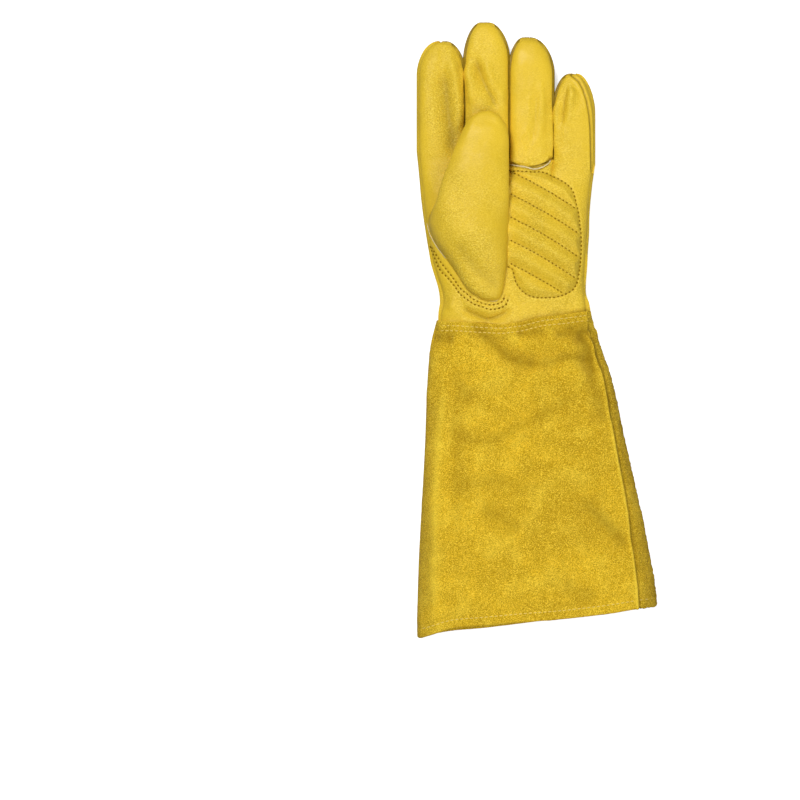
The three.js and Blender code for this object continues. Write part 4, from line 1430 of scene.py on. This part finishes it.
def add_bump(tree, shader, height, strength, distance):
    bump = tree.nodes.new("ShaderNodeBump")
    socket_value(bump, "Strength", strength)
    socket_value(bump, "Distance", distance)
    tree.links.new(height, bump.inputs["Height"])
    tree.links.new(bump.outputs["Normal"], shader.inputs["Normal"])


def mesh_mask(tree, name):
    """A value that each point of the piece carries, such as the shade painted at it in a seam, crease or
    fold.
    """
    node = tree.nodes.new("ShaderNodeAttribute")
    node.attribute_type = "GEOMETRY"
    node.attribute_name = name
    return node.outputs["Fac"]


def leather_material(look, grain, dye):
    material, tree, shader, place = new_material("yellow_leather")
    surface = place_group(tree, grain, place)
    tree.links.new(mesh_mask(tree, "grain"), surface.inputs["Strength"])
    uneven = place_group(tree, dye, place)
    socket_value(uneven, "Patch Scale", 22.0)
    shades = (look.leather, look.leather_deep, look.leather_pore_and_shade, look.leather_crest_and_highlight)
    bright, deep, shadow, crest_and_highlight = (tuple(shade) + (1.0,) for shade in shades)
    seam = mesh_mask(tree, "seam")
    layers = (
        (uneven.outputs["Patches"], 0, 1, 0.45, deep),
        (uneven.outputs["Clouds"], 0, 1, 0.25, deep),
        (surface.outputs["Pores"], 0, 1, 0.3, shadow),
        (surface.outputs["Crests"], 0, 1, 0.75, crest_and_highlight),
        # Painted shade in seams, creases, folds and between the fingers, and painted highlight on ridges and
        # the thumb's rim
        (seam, 0.08, 1.0, 0.85, shadow),
        (seam, -0.05, -0.5, 0.4, crest_and_highlight),
    )
    tree.links.new(layer_colours(tree, bright, layers), shader.inputs["Base Color"])
    rough = ranged(tree, uneven.outputs["Clouds"], 0, 1, 0.36, 0.5)
    tree.links.new(rough, shader.inputs["Roughness"])
    socket_value(shader, "Specular IOR Level", 0.25)
    add_bump(tree, shader, surface.outputs["Height"], 1.0, 0.0004)
    return material


def suede_material(look, dye, name, rough):
    """Split suede; rough is how much stronger its nap is than the cuff's own."""
    material, tree, shader, place = new_material(name)
    uneven = place_group(tree, dye, place)
    socket_value(uneven, "Patch Scale", 26.0)
    light, deep, pale = (tuple(colour) + (1.0,) for colour in (look.suede, look.suede_deep, look.suede_nap_and_highlight))
    # dark: the colour of the shade painted in the cuff's seams, creases and puckers
    dark = tuple(0.55 * part for part in look.suede_deep) + (1.0,)
    nap = add_noise(tree, place, 1500.0, 3.0, 0.7)
    fibre = add_noise(tree, place, 2200.0, 3.0, 0.6)
    brushed = add_noise(tree, place, 240.0, 4.0, 0.65)
    broad = add_noise(tree, place, 55.0, 5.0, 0.6)
    seam = mesh_mask(tree, "seam")
    layers = (
        (uneven.outputs["Patches"], 0, 1, 0.7 + 0.3 * rough, deep),
        (uneven.outputs["Clouds"], 0, 1, 0.4, deep),
        (brushed, 0.5, 0.36, 0.4, deep),
        (broad, 0.5, 0.35, 0.4, deep),
        (broad, 0.5, 0.65, 0.4, pale),
        (nap, 0.5, 0.6, 1.0, pale),
        (nap, 0.48, 0.38, 1.0, deep),
        # Painted shade in the seams, creases and puckers, and painted highlight on ridges and the rolled seam
        # edge
        (seam, 0.1, 1.0, 0.8, dark),
        (seam, -0.05, -0.5, 0.5, pale),
    )
    tree.links.new(layer_colours(tree, light, layers), shader.inputs["Base Color"])
    socket_value(shader, "Roughness", 0.95)
    socket_value(shader, "Specular IOR Level", 0.1)
    socket_value(shader, "Sheen Weight", 0.12)
    socket_value(shader, "Sheen Roughness", 0.5)
    shader.inputs["Sheen Tint"].default_value = (1.0, 0.8, 0.3, 1.0)
    height = math_node(tree, "ADD", nap, math_node(tree, "MULTIPLY", fibre, 0.5))
    add_bump(tree, shader, height, 0.8, 0.0008 * (1 + 1.5 * rough))
    return material


def plain_material(name, colour, roughness, scale, shine=0.15):
    """Thread, raw edge or the painted shade of a needle hole: one colour with a little uneven dye and twist.
    """
    material, tree, shader, place = new_material(name)
    fleck = add_noise(tree, place, scale, 3.0)
    bright = tuple(colour) + (1.0,)
    dull = tuple(0.72 * part for part in colour) + (1.0,)
    tree.links.new(layer_colours(tree, bright, [(fleck, 0.35, 0.65, 1.0, dull)]), shader.inputs["Base Color"])
    socket_value(shader, "Roughness", roughness)
    socket_value(shader, "Specular IOR Level", shine)
    add_bump(tree, shader, fleck, 0.4, 0.0002)
    return material


def look_up_material(name):
    """The material of that name, made with all the others the first time."""
    if name not in bpy.data.materials:
        look = bpy.context.scene.gauntlet_look
        grain, dye = grain_group(), mottle_group()
        leather_material(look, grain, dye)
        suede_material(look, dye, "mustard_suede", 0.0)
        suede_material(look, dye, "rough_suede", 1.0)
        plain_material("leather_thread", look.leather_thread, 0.7, 1800.0)
        plain_material("pale_thread", look.pale_thread, 0.75, 1800.0)
        plain_material("raw_edge", look.raw_edge, 0.9, 1200.0)
        plain_material("needle_hole_shade", look.needle_hole_shade, 1.0, 900.0, 0.0)
    return bpy.data.materials[name]


# Thread and cut edges


def surface_tree(names):
    """A search tree over finished pieces, for placing thread on them."""
    corners, faces = [], []
    for name in names:
        mesh = bpy.data.objects[name].data
        start = len(corners)
        corners += [tuple(vertex.co) for vertex in mesh.vertices]
        faces += [[start + corner for corner in polygon.vertices] for polygon in mesh.polygons]
    return BVHTree.FromPolygons(corners, faces)


def on_surface(tree, x, y, from_below=False):
    """The place in metres and normal of a surface above or below a place given in mm."""
    start = Vector((x * MM, (y + WRIST_Y) * MM, -0.1 if from_below else 0.2))
    way = Vector((0, 0, 1 if from_below else -1))
    place, normal, _, _ = tree.ray_cast(start, way)
    if place is None:
        return None, None
    if normal.dot(way) > 0:
        normal.negate()
    return place, normal


def capsule():
    """One stitch: a rounded bar of unit length along X and unit width, modelled once."""
    bpy.ops.object.select_all(action="DESELECT")
    bpy.ops.mesh.primitive_uv_sphere_add(segments=8, ring_count=6, radius=0.5, rotation=(0, math.pi / 2, 0))
    made = bpy.context.object
    bpy.ops.object.transform_apply(location=False, rotation=True, scale=False)
    corners = np.array([tuple(vertex.co) for vertex in made.data.vertices])
    faces = [list(polygon.vertices) for polygon in made.data.polygons]
    bpy.data.objects.remove(made)
    return corners, faces


def add_small_piece(name, corners, faces, material):
    """Adds thread or a cut edge, which replaces no CAD node."""
    piece = link_mesh(name, corners, faces, look_up_material(material))
    piece.data.shade_smooth()
    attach(piece, "root")


def add_threads(name, stitches, material, flat=0.7):
    """Copies one stitch to each (place, direction, normal, length, width) and joins the copies."""
    bar, bar_faces = capsule()
    corners, faces = [], []
    for place, along, normal, length, width in stitches:
        side = normal.cross(along).normalized()
        along = side.cross(normal).normalized()
        turn = np.array([along * length, side * width, normal * width * flat])
        faces += [[len(corners) + corner for corner in face] for face in bar_faces]
        corners += (bar @ turn + np.array(place)).tolist()
    add_small_piece(name, corners, faces, material)


def add_edge(name, tree, points, width, height, lift):
    """A thin cut edge of leather, laid along a line of (x, y) in mm over a surface."""
    line = [on_surface(tree, x, y) for x, y in curve_through(points, 0.9)]
    line = [(place, normal) for place, normal in line if place is not None]
    turns = np.linspace(0, 2 * math.pi, 9)[:-1]
    corners, faces = [], []
    for step, (place, normal) in enumerate(line):
        ahead = line[min(step + 1, len(line) - 1)][0] - line[max(step - 1, 0)][0]
        side = normal.cross(ahead).normalized()
        taper = min(1.0, 0.25 + 0.35 * min(step, len(line) - 1 - step))
        wobble = 1 + 0.25 * math.sin(step * 1.9) * math.sin(step * 0.63)
        for turn in turns:
            across = side * (0.5 * width * wobble * taper * math.cos(turn) * MM)
            up = normal * ((0.5 * height * taper * math.sin(turn) + lift) * MM)
            corners.append(tuple(place + across + up))
    ring = len(turns)
    for step in range(len(line) - 1):
        for turn in range(ring):
            a, b = step * ring + turn, step * ring + (turn + 1) % ring
            faces.append([a, b, b + ring, a + ring])
    faces.append(list(range(ring))[::-1])
    faces.append([len(corners) - ring + turn for turn in range(ring)])
    add_small_piece(name, corners, faces, "raw_edge")


def row_of_stitches(tree, points, pitch, fill, width, lift=0.0, from_below=False):
    """Stitches, and dark discs of painted shade for their needle holes, along a line of (x, y) in mm over a
    surface.
    """
    line = curve_through(points, pitch)
    stitches, holes = [], []
    for (x0, y0), (x1, y1) in zip(line, line[1:]):
        first, normal = on_surface(tree, x0, y0, from_below)
        second, other = on_surface(tree, x1, y1, from_below)
        if first is None or second is None or (second - first).length > 3 * pitch * MM:
            continue
        up = (normal + other).normalized()
        along = second - first
        middle = (first + second) / 2 + up * lift * MM
        stitches.append((middle, along.normalized(), up, along.length * fill, width))
        holes.append((first, along.normalized(), normal, *HOLE_SIZE))
    return stitches, holes


# Settings


class GauntletShape(bpy.types.PropertyGroup):
    leather_wall: FloatProperty(
        name="Leather thickness",
        description="Thickness of the smooth leather",
        default=0.0012, unit="LENGTH", min=0.0005,
    )
    suede_wall: FloatProperty(
        name="Suede thickness",
        description="Thickness of the cuff's split leather",
        default=0.0018, unit="LENGTH", min=0.0005,
    )
    seam_roll: FloatProperty(
        name="Seam roll",
        description="Width over which leather rolls down into a seam",
        default=0.0017, unit="LENGTH", min=0.0002,
    )
    seam_depth: FloatProperty(
        name="Seam depth",
        description="Depth of the groove along a leather seam",
        default=0.0009,
        unit="LENGTH",
        min=0,
    )
    stitch_pitch: FloatProperty(
        name="Stitch pitch",
        description="Distance from one needle hole to the next",
        default=0.0029, unit="LENGTH", min=0.001,
    )
    thread_width: FloatProperty(
        name="Thread width",
        description="Width of the sewing thread",
        default=0.0007, unit="LENGTH", min=0.0002,
    )


class GauntletLook(bpy.types.PropertyGroup):
    leather: FloatVectorProperty(
        name="Leather",
        description="Bright colour of the smooth leather",
        default=(0.83, 0.565, 0.032), subtype="COLOR",
    )
    leather_deep: FloatVectorProperty(
        name="Leather, deep",
        description="Deeper colour in its patches and pores",
        default=(0.64, 0.43, 0.016), subtype="COLOR",
    )
    # Dark of the leather's pores, also used for the shade painted in its seams, creases, folds and
    # fourchettes
    leather_pore_and_shade: FloatVectorProperty(
        name="Leather, seams",
        description="Colour down in its seams",
        default=(0.19, 0.115, 0.004), subtype="COLOR",
    )
    # Pale of the grain's crests, also used for the highlight painted on ridges and along the thumb's rim
    leather_crest_and_highlight: FloatVectorProperty(
        name="Leather, crests",
        description="Pale colour on its rubbed ridges",
        default=(0.97, 0.75, 0.1), subtype="COLOR",
    )
    suede: FloatVectorProperty(
        name="Suede", description="Main colour of the cuff", default=(0.86, 0.52, 0.015), subtype="COLOR"
    )
    suede_deep: FloatVectorProperty(
        name="Suede, deep",
        description="Darker colour in its patches",
        default=(0.44, 0.25, 0.004), subtype="COLOR",
    )
    # Light tips of the nap, also used for the highlight painted on the cuff's ridges and rolled seam edge
    suede_nap_and_highlight: FloatVectorProperty(
        name="Suede, nap", description="Light tips of its nap", default=(1.0, 0.73, 0.06), subtype="COLOR"
    )
    leather_thread: FloatVectorProperty(
        name="Leather thread",
        description="Thread on the smooth leather",
        default=(0.6, 0.38, 0.02), subtype="COLOR",
    )
    pale_thread: FloatVectorProperty(
        name="Pale thread", description="Thread on the suede", default=(0.94, 0.72, 0.16), subtype="COLOR"
    )
    raw_edge: FloatVectorProperty(
        name="Raw edge",
        description="Undyed middle of the leather at cut edges",
        default=(0.8, 0.68, 0.36), subtype="COLOR",
    )
    # A needle hole is drawn as a dark disc of painted shade
    needle_hole_shade: FloatVectorProperty(
        name="Needle hole", description="Dark of a needle hole", default=(0.28, 0.15, 0.004), subtype="COLOR"
    )


class GauntletStage(bpy.types.PropertyGroup):
    camera_height: FloatProperty(
        name="Camera height",
        description="Height of the camera over the floor",
        default=2.4, unit="LENGTH", min=0.5,
    )
    frame_width: FloatProperty(
        name="Frame width",
        description="Width of floor that the picture shows",
        default=0.5632, unit="LENGTH", min=0.1,
    )
    centre: FloatVectorProperty(
        name="Picture centre",
        description="Middle of the picture on the floor",
        default=(-0.0962, -0.0486, 0.0), subtype="TRANSLATION", unit="LENGTH",
    )
    key_power: FloatProperty(
        name="Key light",
        description="Power of the main soft light, in watts",
        default=65.0, min=0,
    )
    sky: FloatProperty(
        name="Room light",
        description="Strength of the even light all round",
        default=0.2, min=0,
    )
    floor_glow: FloatProperty(
        name="Floor glow",
        description="Light that the white paper gives by itself",
        default=0.6, min=0,
    )


# Operators


class GAUNTLET_OT_hand(bpy.types.Operator):
    """Makes the leather pieces of the hand"""

    bl_idname = "gauntlet.hand"
    bl_label = "Hand"

    def execute(self, context):
        shape = context.scene.gauntlet_shape
        skin = hand_skin()
        for node in skin.names():
            # Fourchettes, in the narrow gaps between the fingers, are painted in shade all over
            least = FOURCHETTE_PAINTED_SHADE if node.startswith("fourchette") else 0.0
            seam = (shape.seam_roll / MM, shape.seam_depth / MM, HAND_SEAM_PAINTED_SHADE, least)
            name = node.removesuffix("_panel") + "_leather"
            sew_piece(skin, node, name, "yellow_leather", shape.leather_wall, seam, HAND_GRAIN)
        return {"FINISHED"}


class GAUNTLET_OT_thumb(bpy.types.Operator):
    """Makes the bag thumb and its underside"""

    bl_idname = "gauntlet.thumb"
    bl_label = "Thumb"

    def execute(self, context):
        shape = context.scene.gauntlet_shape
        skin = thumb_skin()
        # The thumb's negative seam shade paints a highlight all round its rim
        seam = (shape.seam_roll / MM, THUMB_SEAM_SHARE * shape.seam_depth / MM, THUMB_SEAM_PAINTED_SHADE)
        for node in skin.names():
            name = f"{node}_leather"
            sew_piece(skin, node, name, "yellow_leather", shape.leather_wall, seam, THUMB_GRAIN)
        return {"FINISHED"}


class GAUNTLET_OT_cuff(bpy.types.Operator):
    """Makes the suede cuff and its gore"""

    bl_idname = "gauntlet.cuff"
    bl_label = "Cuff"

    def execute(self, context):
        shape = context.scene.gauntlet_shape
        skin = cuff_skin()
        for node, material, (roll, depth), _ in CUFF_PIECES:
            seam = (roll, depth, CUFF_SEAM_PAINTED_SHADE)
            sew_piece(skin, node, f"{node}_suede", material, shape.suede_wall, seam)
        return {"FINISHED"}


class GAUNTLET_OT_stitches(bpy.types.Operator):
    """Sews the rows of stitches on the palm, the cuff and the back"""

    bl_idname = "gauntlet.stitches"
    bl_label = "Stitches"

    def execute(self, context):
        shape = context.scene.gauntlet_shape
        pitch, width = shape.stitch_pitch / MM, shape.thread_width
        palm = surface_tree(["palm_leather"])
        threads, holes = [], []
        leather_rows = [THUMB_ROW_OUTER, THUMB_ROW_INNER, list(PAD_CURVE) + [PAD_CURVE[0]], *PAD_DIAGONALS]
        thin = width * LEATHER_THREAD_SHARE
        for row in leather_rows:
            made, pricked = row_of_stitches(palm, row, pitch, LEATHER_FILL, thin, LEATHER_THREAD_LIFT)
            threads += made
            holes += pricked
        add_threads("palm_thread", threads, "leather_thread")
        add_threads("palm_needle_hole_shades", holes, "needle_hole_shade", flat=HOLE_FLATNESS)
        cuff = surface_tree(["cuff_suede", "cuff_gore_suede"])
        pale = []
        for layer in ("front", "back"):
            suede_row = (SUEDE_FILL, width, SUEDE_THREAD_LIFT, layer == "back")
            for inset in CUFF_ROW_INSETS:
                across = np.linspace(0.03, 0.97, 40)
                points = cuff_point(layer, across, np.full(40, -inset))[:, :2]
                if layer == "front":
                    points[:, 1] += cuff_top_rise(points[:, 0])
                pale += row_of_stitches(cuff, points, CUFF_TOP_PITCH, *suede_row)[0]
            across = np.linspace(0.015, 0.985, 60)
            reach = cuff_reach(layer, across)
            points = cuff_point(layer, across, -(reach - HEM_ROW_INSET))[:, :2]
            pale += row_of_stitches(cuff, points, HEM_PITCH, *suede_row)[0]
        add_threads("cuff_thread", pale, "pale_thread")
        back = surface_tree(["back_leather"])
        elastic = []
        zigzag = []
        for place, x in enumerate(np.arange(*ZIGZAG_ENDS, ZIGZAG_TURN)):
            zigzag.append((x, ELASTIC_Y + (ZIGZAG_HALF_HEIGHT if place % 2 else -ZIGZAG_HALF_HEIGHT)))
        for ends in zip(zigzag, zigzag[1:]):
            elastic += row_of_stitches(back, ends, ZIGZAG_PITCH, ELASTIC_FILL, width, 0.0, True)[0]
        add_threads("wrist_elastic_thread", elastic, "leather_thread")
        return {"FINISHED"}


class GAUNTLET_OT_edges(bpy.types.Operator):
    """Adds the pale cut edges beside the thumb and along the base of the ring finger"""

    bl_idname = "gauntlet.edges"
    bl_label = "Cut edges"

    def execute(self, context):
        hand = surface_tree(["palm_leather", "ring_finger_front_leather"])
        for name, line, width, height, lift in CUT_EDGES:
            add_edge(name, hand, line, width, height, lift)
        return {"FINISHED"}


class GAUNTLET_OT_stage(bpy.types.Operator):
    """Sets the pale floor, the soft lights and the camera straight above"""

    bl_idname = "gauntlet.stage"
    bl_label = "Stage"

    def execute(self, context):
        stage = context.scene.gauntlet_stage
        bpy.ops.object.select_all(action="DESELECT")
        bpy.ops.mesh.primitive_plane_add(size=FLOOR_SIZE, location=(0, 0, -FLOOR_CLEARANCE * MM))
        floor = context.object
        floor.name = "floor"
        material, tree, shader, _ = new_material("white_paper")
        seen = tree.nodes.new("ShaderNodeLightPath").outputs["Is Camera Ray"]
        paper = mix_colours(tree, seen, PAPER_THROWN, PAPER_SEEN)
        tree.links.new(paper, shader.inputs["Base Color"])
        socket_value(shader, "Roughness", 0.9)
        shader.inputs["Emission Color"].default_value = (1, 1, 1, 1)
        glow = math_node(tree, "MULTIPLY", seen, stage.floor_glow)
        tree.links.new(glow, shader.inputs["Emission Strength"])
        floor.data.materials.append(material)
        world = bpy.data.worlds.new("room")
        world.use_nodes = True
        world.node_tree.nodes["Background"].inputs["Color"].default_value = (1, 1, 1, 1)
        world.node_tree.nodes["Background"].inputs["Strength"].default_value = stage.sky
        context.scene.world = world
        for name, place, size, power_share in LIGHTS:
            bpy.ops.object.light_add(type="AREA", location=place)
            light = context.object
            light.name = name
            light.data.size = size
            light.data.energy = power_share * stage.key_power
            light.rotation_euler = (-Vector(place)).to_track_quat("-Z", "Y").to_euler()
        centre = Vector(stage.centre)
        bpy.ops.object.camera_add(location=centre + Vector((0, 0, stage.camera_height)))
        camera = context.object
        camera.name = "camera"
        camera.rotation_euler = (0, 0, 0)
        camera.data.sensor_width = SENSOR_WIDTH
        camera.data.lens = SENSOR_WIDTH * stage.camera_height / stage.frame_width
        camera.data.clip_start, camera.data.clip_end = 0.05, 20
        context.scene.camera = camera
        context.scene.view_settings.view_transform = "Standard"
        return {"FINISHED"}


class GAUNTLET_PT_panel(bpy.types.Panel):
    """Lists the settings and the steps that build the gauntlet"""

    bl_idname = "GAUNTLET_PT_panel"
    bl_label = "Gauntlet"
    bl_space_type = "VIEW_3D"
    bl_region_type = "UI"
    bl_category = "Gauntlet"

    def draw(self, context):
        for settings in ("gauntlet_shape", "gauntlet_look", "gauntlet_stage"):
            group = getattr(context.scene, settings)
            for name in group.__annotations__:
                self.layout.prop(group, name)
        for operator in OPERATORS:
            self.layout.operator(operator.bl_idname)


OPERATORS = (
    GAUNTLET_OT_hand,
    GAUNTLET_OT_thumb,
    GAUNTLET_OT_cuff,
    GAUNTLET_OT_stitches,
    GAUNTLET_OT_edges,
    GAUNTLET_OT_stage,
)
CLASSES = (GauntletShape, GauntletLook, GauntletStage, *OPERATORS, GAUNTLET_PT_panel)


def register():
    for part in CLASSES:
        bpy.utils.register_class(part)
    bpy.types.Scene.gauntlet_shape = PointerProperty(type=GauntletShape)
    bpy.types.Scene.gauntlet_look = PointerProperty(type=GauntletLook)
    bpy.types.Scene.gauntlet_stage = PointerProperty(type=GauntletStage)


def unregister():
    for name in ("gauntlet_shape", "gauntlet_look", "gauntlet_stage"):
        delattr(bpy.types.Scene, name)
    for part in reversed(CLASSES):
        bpy.utils.unregister_class(part)


def main():
    register()
    bpy.ops.gauntlet.hand()
    bpy.ops.gauntlet.thumb()
    bpy.ops.gauntlet.cuff()
    bpy.ops.gauntlet.stitches()
    bpy.ops.gauntlet.edges()
    bpy.ops.gauntlet.stage()
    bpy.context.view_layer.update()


if __name__ == "__main__":
    main()
